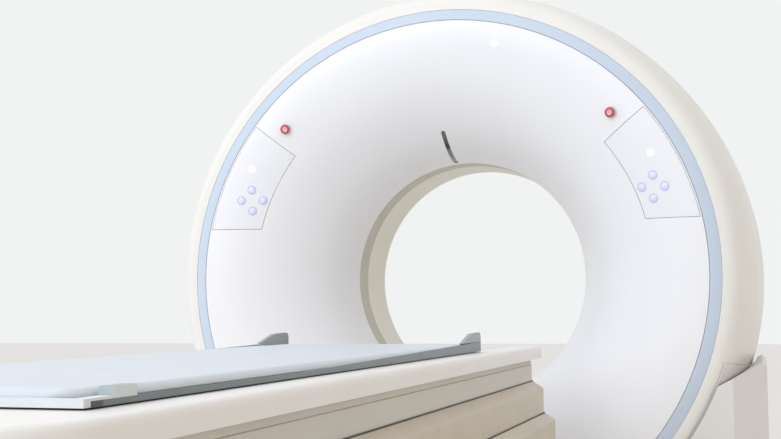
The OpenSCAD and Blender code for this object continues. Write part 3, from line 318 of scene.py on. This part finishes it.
# Depth of the mouth at a radius: the radius left to the rim, as a share, raised to the power, falls from 1 to 0
def mouthY(radius):
    left = np.clip((mouthR - radius) / (mouthR - gantry["bore"]), 0, 1)
    deep = (1 - left ** gantry["mouthPower"]) ** (1 / gantry["mouthPower"])
    return -gantry["tubeHalf"] + deep * (gantry["flatY"] + gantry["tubeHalf"])


# Mouth line from the tube's end to the rim, the same curve as mouthY, its points evenly spread along its length
def mouthLine(count):
    share = 1 - (1 - np.linspace(0, 1, 400)) ** 1.7
    radius = mouthR - (mouthR - gantry["bore"]) * (1 - share ** gantry["mouthPower"]) ** (1 / gantry["mouthPower"])
    y = -gantry["tubeHalf"] + share * (gantry["flatY"] + gantry["tubeHalf"])
    run = np.concatenate([[0], np.cumsum(np.hypot(np.diff(radius), np.diff(y)))])
    even = np.linspace(0, run[-1], count)
    return np.stack([np.interp(even, run, radius), np.interp(even, run, y)], -1)


# Front cover: the trumpet face with pockets for the two control panels and the laser window
pockets = dict(panelDeg=51.6, panelIn=0.636, panelLow=0.161, gap=0.0014, deep=0.0046,
               slotX=-0.035, slotHalf=0.007, slotFront=-0.355, slotBack=-0.165, slotDeep=0.0035,
               rollOut=0.0048, rollBack=0.0022, sharpDeg=50)


# Angles of a control panel's upper and lower edge at a radius, the panel grown by a gap
def panelSides(radius, grow):
    upper = math.radians(pockets["panelDeg"]) - grow / radius
    lower = np.arccos(np.clip((pockets["panelLow"] - grow) / np.maximum(radius, pockets["panelIn"] - grow), -1, 1))
    return upper, lower


# Half width of the laser slot at a depth: round at both ends, and held open a little beyond them for the mesh
def slotHalfAt(y):
    half = pockets["slotHalf"]
    inside = np.minimum(y - pockets["slotFront"], pockets["slotBack"] - y)
    roundEnd = half * np.sqrt(np.clip(1 - (1 - np.clip(inside / half, 0, 1)) ** 2, 0.0016, 1))
    beyond = half * np.clip(-inside / 0.03, 0.04, 1)
    return np.where(inside >= 0, roundEnd, beyond)


# The mouth line turned round, with its columns bent to the pockets' edges; the faces inside a pocket are
# moved straight into the face by its depth and joined to their edge by a wall
def frontCover():
    # rows stand exactly on the pockets' edges, and no other row comes within 2 mm of them
    line = mouthLine(70)
    fine = mouthLine(900)
    ends = np.array([0, 0.0002, 0.0008, 0.0018, 0.0032, 0.005, 0.007])
    depths = np.concatenate([pockets["slotFront"] + ends, pockets["slotBack"] - ends])
    slotRadii = np.interp(-depths, -fine[:, 1], fine[:, 0])
    inner = pockets["panelIn"] - pockets["gap"]
    special = np.concatenate([slotRadii, [inner, gantry["bore"], mouthR]])
    keep = [r for r in line[:, 0] if np.min(np.abs(special - r)) > 0.002]
    radii = np.unique(np.concatenate([keep, special]))
    y = mouthY(radii)
    y[0], y[-1] = -gantry["tubeHalf"], gantry["flatY"]
    edge = [(mouthR + pockets["rollOut"] * math.sin(t), gantry["flatY"] + pockets["rollBack"] * (1 - math.cos(t)))
            for t in np.linspace(0.25, math.pi / 2, 6)]
    section = np.concatenate([np.stack([radii, y], -1), edge, [(rimR + 0.0008, gantry["ledgeY"])]])
    counts = dict(beforeSlot=52, slot=6, afterSlot=58, panel=26, low=150)
    rows = []
    for radius, depth in section:
        upper, lower = panelSides(min(radius, mouthR), pockets["gap"])
        half = float(slotHalfAt(depth))
        slotA, slotB = (math.asin((pockets["slotX"] + d) / radius) for d in (-half, half))
        angles = np.concatenate([
            np.linspace(-upper, slotA, counts["beforeSlot"], endpoint=False),
            np.linspace(slotA, slotB, counts["slot"], endpoint=False),
            np.linspace(slotB, upper, counts["afterSlot"], endpoint=False),
            np.linspace(upper, lower, counts["panel"], endpoint=False),
            np.linspace(lower, 2 * math.pi - lower, counts["low"], endpoint=False),
            np.linspace(2 * math.pi - lower, 2 * math.pi - upper, counts["panel"], endpoint=False)])
        rows.append(turned([(radius, depth)], angles)[0])
    grid = np.array(rows)
    rowCount, columnCount = grid.shape[:2]
    slotStart = counts["beforeSlot"]
    slotEnd = slotStart + counts["slot"]
    rightStart = slotEnd + counts["afterSlot"]
    rightEnd = rightStart + counts["panel"]
    leftStart = rightEnd + counts["low"]
    leftEnd = leftStart + counts["panel"]
    firstRow, lastRow = int(np.argmin(np.abs(radii - inner))), len(radii) - 1
    slotRows = sorted(int(np.argmin(np.abs(y - d))) for d in (pockets["slotFront"], pockets["slotBack"]))
    blocks = [(firstRow, lastRow, rightStart, rightEnd, pockets["deep"]),
              (firstRow, lastRow, leftStart, leftEnd, pockets["deep"]),
              (slotRows[0], slotRows[1], slotStart, slotEnd, pockets["slotDeep"])]
    # the way straight into the face at each row, from the section's slope
    lean = np.arctan(-np.gradient(section[:, 1]) / np.maximum(np.gradient(section[:, 0]), 1e-6))
    out = grid - np.array([0, 0, gantry["iso"]])
    out[..., 1] = 0
    out /= np.linalg.norm(out, axis=-1, keepdims=True)
    inward = np.cos(lean)[:, None, None] * np.array([0, 1.0, 0]) + np.sin(lean)[:, None, None] * out
    quads = gridFaces(rowCount, columnCount, closed=True).reshape(rowCount - 1, columnCount, 4)
    uncut = np.ones((rowCount - 1, columnCount), bool)
    points, faces = [grid.reshape(-1, 3)], []
    count = rowCount * columnCount
    for r0, r1, c0, c1, deep in blocks:
        uncut[r0:r1, c0:c1] = False
        columns = np.arange(c0, c1 + 1) % columnCount
        floor = grid[r0:r1 + 1][:, columns] + deep * inward[r0:r1 + 1][:, columns]
        points.append(floor.reshape(-1, 3))
        high, wide = r1 - r0 + 1, c1 - c0 + 1
        faces.append(gridFaces(high, wide, start=count))
        floorIds = np.arange(high)[:, None] * wide + np.arange(wide)[None, :] + count
        faceIds = np.arange(r0, r1 + 1)[:, None] * columnCount + columns[None, :]
        loop = [np.concatenate([m[0, :-1], m[:-1, -1], m[-1, :0:-1], m[:0:-1, 0]]) for m in (faceIds, floorIds)]
        faces.append(np.stack([loop[0], np.roll(loop[0], -1), np.roll(loop[1], -1), loop[1]], -1))
        count += high * wide
    pocketFaces = sum(len(f) for f in faces)
    faces.append(quads[uncut])
    return np.concatenate(points), np.concatenate(faces), pocketFaces


points, faces, pocketFaces = frontCover()
mouth = meshPiece("mouthCover", points, faces, "stand", "sprayedFibreglassWhite", ("front_cover",),
                  pockets["sharpDeg"])
# the pockets' walls and floors are painted mid grey as shade, which shows as a thin dark line round the panels
mouth.data.materials.append(materials["pocketPaintedShade"])
inPocket = np.arange(len(mouth.data.polygons)) < pocketFaces
mouth.data.polygons.foreach_set("material_index", inPocket.astype(np.int32))
print("stage: front cover", len(faces))


# Blue ring: a moulded strip with rounded edges and a slight bow between its inner and outer front
ringLook = dict(round=0.0018, bow=0.0012, steps=7)
ringIn, ringOut, r = gantry["ringR"] - gantry["ringW"], gantry["ringR"], ringLook["round"]
flatY, faceY, ledgeY = gantry["flatY"], gantry["faceY"], gantry["ledgeY"]
section = [(ringIn, ledgeY), (ringIn, flatY + r), (ringIn + 0.3 * r, flatY + 0.3 * r), (ringIn + r, flatY)]
section += [(ringIn + r + s * (ringOut - ringIn - 2 * r),
             flatY + s * (faceY - flatY) - ringLook["bow"] * math.sin(math.pi * s))
            for s in np.linspace(0.1, 0.9, ringLook["steps"])]
section += [(ringOut - r, faceY), (ringOut - 0.3 * r, faceY + 0.3 * r), (ringOut, faceY + r), (ringOut, ledgeY)]
turnedPiece("blueRing", section, "stand", "mouldedAbsBlue", ("trim_ring",))


# Drum line from the ring back to the rear seam: the depth left, as a share of the swell, raised to the drum's
# power, is what the radius still lacks of its full size, raised to the same power
def drumLine(last, count):
    power = gantry["drumPower"]
    share = (np.linspace(0, 1, count) ** 2.2 * (last - faceY)) / gantry["drumSwell"]
    grown = (1 - (1 - share) ** power) ** (1 / power)
    radius = ringOut + gantry["drumStart"] + (gantry["drumR"] - ringOut) * grown
    return np.stack([radius, faceY + share * gantry["drumSwell"]], -1)


outer = drumLine(gantry["rearSeam"], 60)
firstR, lastR, seamY = outer[0][0], outer[-1][0], gantry["rearSeam"]
section = [(ringIn - 0.045, ledgeY), (firstR + 0.004, ledgeY), (firstR, -0.5035)] + outer.tolist()
section += [(lastR - 0.0015, seamY + 0.0008), (lastR - gantry["wall"], seamY + 0.0008),
            (lastR - gantry["wall"], seamY - 0.03)]
turnedPiece("drumShell", section, "stand", "sprayedFibreglassCream", ("barrel_cover",), 40)


# Filler strips of the foot covers' own ABS, which close the gap between them and the drum
fillerLook = dict(fromDeg=107.5, toDeg=151.5, out=0.0040, thick=0.0020, setBack=0.007, endBack=0.010, steps=40,
                  rows=36)
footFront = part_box("foot_cover_right")[0][1]
y = np.linspace(footFront + fillerLook["setBack"], seamY - fillerLook["endBack"], fillerLook["rows"])
inner = np.interp(y, outer[:, 1], outer[:, 0]) + fillerLook["out"]
loopR = np.concatenate([inner, inner[::-1] + fillerLook["thick"]])
loopY = np.concatenate([y, y[::-1]])
for side, name in ((1, "sealRight"), (-1, "sealLeft")):
    angles = side * np.radians(np.linspace(fillerLook["fromDeg"], fillerLook["toDeg"], fillerLook["steps"]))
    grid = turned(np.stack([loopR, loopY], -1), angles)
    rows, columns = grid.shape[:2]
    i, j = np.meshgrid(np.arange(rows), np.arange(columns - 1), indexing="ij")
    k = (i + 1) % rows
    quads = np.stack([i * columns + j, i * columns + j + 1, k * columns + j + 1, k * columns + j], -1)
    ends = [[r * columns for r in range(rows)], [r * columns + columns - 1 for r in range(rows)][::-1]]
    faces = quads.reshape(-1, 4).tolist() + ends
    if side > 0:
        faces = [f[::-1] for f in faces]
    meshPiece(name, grid.reshape(-1, 3), faces, "stand", "formedAbsWarm")
print("stage: ring, drum and filler strips")


# A CAD node that keeps its shape: a merged copy, smooth but for edges sharper than an angle
def smoothCopy(node, material, sharpDeg):
    source = frame["nodes"][node]
    mesh = source.data.copy()
    mesh.name = node + "Skin"
    work = bmesh.new()
    work.from_mesh(mesh)
    bmesh.ops.remove_doubles(work, verts=work.verts, dist=1e-5)
    bmesh.ops.dissolve_limit(work, angle_limit=math.radians(0.5), verts=work.verts, edges=work.edges)
    # faces with round holes are split again, so that they shade evenly
    bmesh.ops.triangulate(work, faces=[f for f in work.faces if len(f.verts) > 12])
    work.to_mesh(mesh)
    work.free()
    mesh.materials.clear()
    mesh.materials.append(materials[material])
    mesh.shade_smooth()
    mesh.set_sharp_from_angle(angle=math.radians(sharpDeg))
    made = bpy.data.objects.new(node + "Skin", mesh)
    bpy.context.scene.collection.objects.link(made)
    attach(made, source["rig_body"])
    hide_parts(node)
    return made


# A second material on the faces whose centre and normal pass a test
def secondMaterial(made, material, test):
    made.data.materials.append(materials[material])
    for face in made.data.polygons:
        if test(face.center, face.normal):
            face.material_index = 1


# The mouth's own normals on a panel's front, so that the key holes leave no smears in its shine: straight out of
# the mouth line, turned about the bore axis; corners of other faces keep their face's normal
def panelNormals(made):
    mesh, step = made.data, 1e-4
    corner = np.empty(len(mesh.loops), np.int32)
    mesh.loops.foreach_get("vertex_index", corner)
    spots = np.empty(len(mesh.vertices) * 3)
    mesh.vertices.foreach_get("co", spots)
    spots = spots.reshape(-1, 3)[corner] - (0, 0, gantry["iso"])
    flat = np.empty(len(mesh.polygons) * 3)
    mesh.polygons.foreach_get("normal", flat)
    sides = np.empty(len(mesh.polygons), np.int32)
    mesh.polygons.foreach_get("loop_total", sides)
    flat = np.repeat(flat.reshape(-1, 3), sides, axis=0)
    radius = np.hypot(spots[:, 0], spots[:, 2])
    slope = (mouthY(radius + step) - mouthY(radius - step)) / (2 * step)
    way = np.stack([slope * spots[:, 0] / radius, -np.ones(len(radius)), slope * spots[:, 2] / radius], -1)
    way /= np.linalg.norm(way, axis=1, keepdims=True)
    near = (way * flat).sum(1) > 0.9
    mesh.normals_split_custom_set(np.where(near[:, None], way, flat).tolist())


# CAD nodes that are seen from outside, or are round, and their finishes
copies = dict(
    rear_cover="sprayedFibreglassCream", scan_window="polyesterFilm", bore_tube="gelCoatedTube",
    foot_cover_left="formedAbsWarm", foot_cover_right="formedAbsWarm", control_panel_left="overlaidAbsPanel",
    control_panel_right="overlaidAbsPanel", key_rings="litPolycarbonate", face_lamps="litAcrylic",
    stop_collars="mouldedAbsCollar", laser_window="acrylicPaintedReflection", stop_button_left="glossyAbsRed",
    stop_button_right="glossyAbsRed", gantry_frame="powderCoatedSteel", bearing_outer_race="groundBearingSteel",
    bearing_inner_race="groundBearingSteel", bearing_balls="groundBearingSteel", rotor_plate="castAluminium",
    slip_ring="turnedBrass", tube_housing="castAluminium", detector_arc="anodisedAluminium",
    high_voltage_tanks="enamelledSteel", drive_motor="paintedCastIron", drive_pulley="castAluminium",
    drive_belt="mouldedNeoprene", column_outer_tubes="drawnSteelTube", column_middle_tubes="drawnSteelTube",
    column_inner_tubes="drawnSteelTube", lift_spindles="drawnSteelTube", lift_motors="paintedCastIron",
    couch_cover="formedAbsIvory", table_drive="paintedCastIron", table_roller="mouldedNeoprene",
    tabletop="lacqueredCarbonFibre", tabletop_guards="mouldedAbsGrey", tabletop_end_bar="mouldedAbsPale",
)
for side in ("left", "right"):
    for end in ("up", "down", "inner", "outer"):
        copies[f"key_{side}_{end}"] = "frostedPolycarbonate"
edgeLook = dict(sharpDeg=30, footSharpDeg=8, glareDeep=0.012, glareR=0.0085, blockLow=0.8156)
for node, material in copies.items():
    made = smoothCopy(node, material, edgeLook["footSharpDeg" if node.startswith("foot_cover") else "sharpDeg"])
    if node.startswith("control_panel"):
        panelNormals(made)
    if node.startswith("stop_button"):
        # the pink disc in the middle of each button's front is painted glare
        spots = np.array([v.co for v in made.data.vertices])
        front = Vector(spots[spots[:, 1] < spots[:, 1].min() + edgeLook["glareDeep"]].mean(0))
        secondMaterial(made, "paintedGlarePink", lambda c, n: (c - front).length < edgeLook["glareR"] and n.y < -0.5)
    if node == "tabletop_end_bar":
        secondMaterial(made, "mouldedAbsGrey", lambda c, n: c.z > edgeLook["blockLow"])
# CAD nodes with flat sides, which only need a finish
plain = dict(base_frame="darkPowderCoatedSteel", brush_block="mouldedPhenolic", collimator="anodisedAluminium",
             tube_cooler="castAluminium", balance_weights="bareCastIron", couch_base="darkPowderCoatedSteel",
             couch_frame="powderCoatedSteel", table_carriage="castAluminium")
for node, material in plain.items():
    mesh = frame["nodes"][node].data
    mesh.materials.clear()
    mesh.materials.append(materials[material])
print("stage: kept nodes", len(copies), len(plain))


# Couch band and telescopic skirts: rounded plans, with soft creases and dark rubber wipers in their gaps, as painted
# shade of the gaps.
# Heights are above the floor, with the couch at rest; each skirt below stands stepOut further out.
couch = dict(bandHalf=0.308, bandFoot=-3.000, bandHead=-0.650, bandCorner=0.060, cornerSteps=17, coverLow=0.769,
             stripGap=0.0035, groove=0.754, stepOut=0.032, shoulderOut=0.029, shoulderDown=0.020, wall=0.004,
             catch=0.0275, catchHigh=0.006, overlap=0.060, upperTop=0.706, lowerTop=0.617, fixedTop=0.450, plate=0.012,
             crease=0.0012, round=0.003, wiperHigh=0.0022, sharpDeg=30)
planCount = 4 * couch["cornerSteps"]


# Points round a rectangle with round corners; grow makes it larger, inset smaller, and the corners' radius follows
def planLoop(grow, inset):
    out = grow - inset
    halfWide, foot, head = couch["bandHalf"] + out, couch["bandFoot"] - out, couch["bandHead"] + out
    r = max(couch["bandCorner"] + out, 0.001)
    quarterTurn = np.linspace(0, math.pi / 2, couch["cornerSteps"])
    corners = [(halfWide - r, head - r), (r - halfWide, head - r),
               (r - halfWide, foot + r), (halfWide - r, foot + r)]
    loop = []
    for quarter, (x, y) in enumerate(corners):
        a = quarterTurn + quarter * math.pi / 2
        loop.append(np.stack([x + r * np.cos(a), y + r * np.sin(a)], -1))
    return np.concatenate(loop)


# A closed section of (inset, height) points carried round the plan; the first point is on the outside, going down
def planPiece(name, grow, section, body, material, replaces=()):
    rings = [np.concatenate([planLoop(grow, inset), np.full((planCount, 1), z)], -1) for inset, z in section]
    faces = gridFaces(len(section) + 1, planCount, closed=True) % (len(section) * planCount)
    return meshPiece(name, np.concatenate(rings), faces[:, ::-1], body, material, replaces, couch["sharpDeg"])


# Five points that round a corner of a section, on the parabola between its two sides
def rounded(before, corner, after, r):
    before, corner, after = (np.array(p, float) for p in (before, corner, after))
    a = corner + (before - corner) / np.linalg.norm(before - corner) * r
    b = corner + (after - corner) / np.linalg.norm(after - corner) * r
    return [tuple((1 - t) ** 2 * a + 2 * t * (1 - t) * corner + t * t * b) for t in (0, 0.25, 0.5, 0.75, 1)]


bandLow = couch["upperTop"] - couch["overlap"]
coverLow, groove, catch, wall = couch["coverLow"], couch["groove"], couch["catch"], couch["wall"]
strip = coverLow - couch["stripGap"]
catchTop = bandLow + couch["catchHigh"]
# the band leans out under the cover, has a fine groove round it and a catch at its foot; its pale colour is painted
# light against the cover's shade
planPiece("couchBand", 0, [
    (0.015, coverLow + 0.006), (0.015, strip), *rounded((0.015, strip), (0.0035, strip), (0.0015, groove), 0.001),
    (0.0015, groove), (0.0028, groove - 0.001), (0.0003, groove - 0.002), (0, groove - 0.003), (0, catchTop),
    (-catch, catchTop), (-catch, bandLow), (wall, bandLow), (wall + 0.001, groove - 0.003),
    (0.019, coverLow - 0.002), (0.019, coverLow + 0.006)], "couch_top", "stripPaintedLight", ("couch_band",))
# a dark rubber ring in the gap under the cover: painted shade of that gap
planPiece("coverGapShade", 0, [(0.0045, coverLow + 0.0002), (0.0045, strip + 0.0003), (0.0140, strip + 0.0003),
                           (0.0140, coverLow + 0.0002)], "couch_top", "gapRubberPaintedShade")


# A skirt with a sloping shoulder, a rounded fold below it, a catch at its foot and a dark wiper on its top, as painted
# shade of the gap to the piece above
def makeSkirt(name, level, top, low, hasCatch, body, node):
    out, shoulder = couch["shoulderOut"], top - couch["shoulderDown"]
    catchTop = low + couch["catchHigh"]
    section = rounded((out, top - 0.005), (out, top), (0, shoulder), couch["crease"])
    section += rounded((out, top), (0, shoulder), (0, low), couch["round"])
    section += [(0, catchTop)]
    section += [(-catch, catchTop), (-catch, low)] if hasCatch else [(0, low)]
    section += [(wall, low), (wall, shoulder - 0.003), (out, top - 0.005)]
    grow = level * couch["stepOut"]
    planPiece(name, grow, section, body, "formedAbsBeige", (node,))
    lip = top + couch["wiperHigh"]
    wiper = [(0.0004, lip - 0.0004), (0.0004, top - 0.0045), (0.0022, top - 0.0045), (0.0022, lip - 0.0004),
             (0.0018, lip), (0.0008, lip)]
    planPiece(name + "ShadeWiper", grow, [(out + inset, z) for inset, z in wiper], body, "gapRubberPaintedShade")


upperTop, lowerTop, fixedTop, overlap = (couch[key] for key in ("upperTop", "lowerTop", "fixedTop", "overlap"))
makeSkirt("upperSkirt", 1, upperTop, lowerTop - overlap, True, "upper_skirt_body", "upper_skirt")
makeSkirt("lowerSkirt", 2, lowerTop, fixedTop - overlap, True, "lower_skirt_body", "lower_skirt")
makeSkirt("baseSkirt", 3, fixedTop, couch["plate"], False, "stand", "base_skirt")
print("stage: couch sides")


# Mattress: a foam pad in a wipe-clean cover, swollen by cloth between its welded edges.
# wide is its half width over the tabletop's ledge, narrow between the end blocks and between the head guards.
mattress = dict(wide=0.2548, narrow=0.2405, head=-1.197, foot=-3.0, top=0.8275, seat=0.8117, trough=0.787,
                troughHalf=0.149, seatHalf=0.236, plainEnd=0.122, blockY=-2.893, guardY=-1.362, blendY=0.018,
                columns=84, rows=260, cornerR=0.035, edgeR=0.013, rim=0.004, pressure=4.0, capMm=4.0, frames=20)


# A rise from 0 to 1 between two values: three times the share squared less twice its cube
def smooth(low, high, value):
    t = np.clip((value - low) / (high - low), 0, 1)
    return t * t * (3 - 2 * t)


# The pad's top as a grid: its edge drops as a quarter circle, and so do its corners in plan
def padTop():
    m = mattress
    a = np.linspace(-math.pi / 2, math.pi / 2, m["columns"] + 1)
    # columns and rows lie a little closer near the edges
    u = 0.35 * np.sin(a) + 0.65 * np.linspace(-1, 1, m["columns"] + 1)
    v = np.linspace(0, 1, m["rows"] + 1)
    v = 0.9 * v + 0.1 * (1 - np.cos(math.pi * v)) / 2
    gridU, gridV = np.meshgrid(u, v, indexing="xy")
    y = m["foot"] + gridV * (m["head"] - m["foot"])
    full = smooth(m["blockY"] - m["blendY"], m["blockY"], y)
    full = full * smooth(-m["guardY"], -m["guardY"] + m["blendY"], -y)
    halfWide = m["narrow"] + full * (m["wide"] - m["narrow"])
    fromEnd = np.minimum(y - m["foot"], m["head"] - y)
    r = m["cornerR"]
    # near the ends the width follows the corner's quarter circle
    narrow = r - np.sqrt(np.clip(r ** 2 - (r - np.clip(fromEnd, 0, r)) ** 2, 0, None))
    x = gridU * (halfWide - narrow)
    edge = m["edgeR"]
    inX = np.clip(edge - (halfWide - narrow - np.abs(x)), 0, edge) / edge
    inY = np.clip(edge - fromEnd, 0, edge) / edge
    drop = edge * (1 - np.sqrt(np.clip(1 - inX ** 2 - inY ** 2, 0, 1)))
    return x, y, m["top"] - drop


# The top and the underside are two grids of the same plan, joined by a wall round their edge
def makeMattress():
    m = mattress
    x, y, z = padTop()
    rows, columns = x.shape
    top = np.stack([x, y, z], -1)
    # underside follows the tabletop's shallow trough, and is flat over its plain end
    share = np.clip((np.abs(x) - m["troughHalf"]) / (m["seatHalf"] - m["troughHalf"]), 0, 1)
    sunk = np.clip((y - (m["foot"] + m["plainEnd"])) / 0.004, 0, 1)
    low = m["seat"] - (1 - share) * (m["seat"] - m["trough"]) * sunk
    under = np.stack([x, y, low], -1)
    loop = np.concatenate([np.arange(columns - 1), np.arange(rows - 1) * columns + columns - 1,
                           np.arange(rows * columns - 1, rows * columns - columns, -1),
                           np.arange((rows - 1) * columns, 0, -columns)])
    points = np.concatenate([top.reshape(-1, 3), under.reshape(-1, 3)])
    faces = [gridFaces(rows, columns)[:, ::-1], gridFaces(rows, columns, start=rows * columns)]
    rings = [loop, loop + rows * columns]
    faces.append(np.stack([rings[0], rings[1], np.roll(rings[1], -1), np.roll(rings[0], -1)], -1)[:, ::-1])
    pad = meshPiece("mattressPad", points, np.concatenate(faces), "tabletop_body", "coatedNylonCloth",
                    ("mattress",), 180)
    swell(pad, rows * columns, len(points), z)
    return pad


# Cloth with pressure inside; the underside and the welded edges stay where they are. The way each point moves is
# capped softly: the cap times the hyperbolic tangent of the way over the cap.
def swell(pad, topCount, allCount, height):
    m = mattress
    before = np.empty(allCount * 3)
    pad.data.vertices.foreach_get("co", before)
    before = before.reshape(-1, 3)
    hold = pad.vertex_groups.new(name="hold")
    held = np.ones(allCount, bool)
    held[:topCount] = height.ravel() < m["top"] - m["edgeR"] + m["rim"]
    hold.add([int(i) for i in np.nonzero(held)[0]], 1.0, "REPLACE")
    cloth = pad.modifiers.new("swell", "CLOTH")
    cloth.settings.use_pressure = True
    cloth.settings.uniform_pressure_force = m["pressure"]
    cloth.settings.vertex_group_mass = "hold"
    cloth.settings.tension_stiffness = 30
    cloth.settings.compression_stiffness = 30
    cloth.settings.bending_stiffness = 2
    cloth.settings.quality = 4
    cloth.settings.effector_weights.gravity = 0
    cloth.point_cache.frame_end = m["frames"]
    scene = bpy.context.scene
    for step in range(1, m["frames"] + 1):
        scene.frame_set(step)
    shaped = pad.evaluated_get(bpy.context.evaluated_depsgraph_get())
    after = np.empty(allCount * 3)
    shaped.data.vertices.foreach_get("co", after)
    move = after.reshape(-1, 3) - before
    size = np.linalg.norm(move, axis=1)
    cap = m["capMm"] / 1000
    move *= (cap * np.tanh(size / cap) / np.maximum(size, 1e-9))[:, None]
    scene.frame_set(1)
    pad.modifiers.clear()
    pad.data.vertices.foreach_set("co", (before + move).ravel())
    pad.data.update()
    print("mattress: largest swell in mm", round(1000 * float(np.abs(move).max()), 2))


pad = makeMattress()
print("stage: mattress")


# Stage: pale floor, white surround, soft light
stageLook = dict(floor="EFECE6", floorSize=60.0, floorRough=0.75, backdrop="F1F3F3", coolSide="F3F7FF",
                 coolAmount=1.2, warmSide="F0DABA", warmAmount=0.49, warmWay=(0.80, 0.42, -0.43))
lampLook = dict(
    key=dict(spot=(-1.5, -4.6, 2.9), target=(-0.6, -0.5, 1.2), size=2.6, power=42.0, color="F2F7FF"),
    overhead=dict(spot=(0.2, -1.8, 4.6), target=(0, -1.2, 0.5), size=4.0, power=6.0, color="FFFFFF"),
)
floorMesh = bpy.data.meshes.new("floor")
half = stageLook["floorSize"] / 2
floorMesh.from_pydata([(-half, -half, 0), (half, -half, 0), (half, half, 0), (-half, half, 0)], [], [(0, 1, 2, 3)])
floor = bpy.data.objects.new("floor", floorMesh)
bpy.context.scene.collection.objects.link(floor)
floorMaterial = bpy.data.materials.new("floorPaint")
floorMaterial.use_nodes = True
floorShader = floorMaterial.node_tree.nodes["Principled BSDF"]
floorShader.inputs["Base Color"].default_value = toLinear(stageLook["floor"])
floorShader.inputs["Roughness"].default_value = stageLook["floorRough"]
floorMesh.materials.append(floorMaterial)

# Light comes bright and cool from the upper left and weak and warm from the lower right; what is seen straight,
# mirrored or through glass is the plain backdrop
world = bpy.data.worlds.new("surround")
bpy.context.scene.world = world
world.use_nodes = True
tree = world.node_tree
tree.nodes.clear()
way = addNode(tree, "ShaderNodeTexCoord").outputs["Generated"]
across = addNode(tree, "ShaderNodeVectorMath", {0: way, 1: stageLook["warmWay"]}, operation="DOT_PRODUCT")
share = addNode(tree, "ShaderNodeMapRange", {0: across.outputs["Value"], 1: -0.75, 2: 0.85},
                interpolation_type="SMOOTHSTEP")
cool, warm, back = (addNode(tree, "ShaderNodeBackground", {"Color": toLinear(stageLook[key]), "Strength": amount})
                    for key, amount in (("coolSide", stageLook["coolAmount"]), ("warmSide", stageLook["warmAmount"]),
                                        ("backdrop", 1.0)))
soft = addNode(tree, "ShaderNodeMixShader", {0: share.outputs[0], 1: cool.outputs[0], 2: warm.outputs[0]})
seen = addNode(tree, "ShaderNodeLightPath").outputs
direct = addNode(tree, "ShaderNodeMath", {0: seen["Is Camera Ray"], 1: seen["Is Glossy Ray"]}, operation="MAXIMUM")
direct = addNode(tree, "ShaderNodeMath", {0: direct.outputs[0], 1: seen["Is Transmission Ray"]}, operation="MAXIMUM")
mix = addNode(tree, "ShaderNodeMixShader", {0: direct.outputs[0], 1: soft.outputs[0], 2: back.outputs[0]})
addNode(tree, "ShaderNodeOutputWorld", {"Surface": mix.outputs[0]})

for name, look in lampLook.items():
    data = bpy.data.lights.new(name, "AREA")
    data.energy, data.size, data.color = look["power"], look["size"], toLinear(look["color"])[:3]
    lamp = bpy.data.objects.new(name, data)
    bpy.context.scene.collection.objects.link(lamp)
    lamp.location = look["spot"]
    lamp.visible_camera = False
    lamp.rotation_euler = (Vector(look["target"]) - Vector(look["spot"])).to_track_quat("-Z", "Y").to_euler()
bpy.context.scene.view_settings.view_transform = "Standard"
print("stage: light")
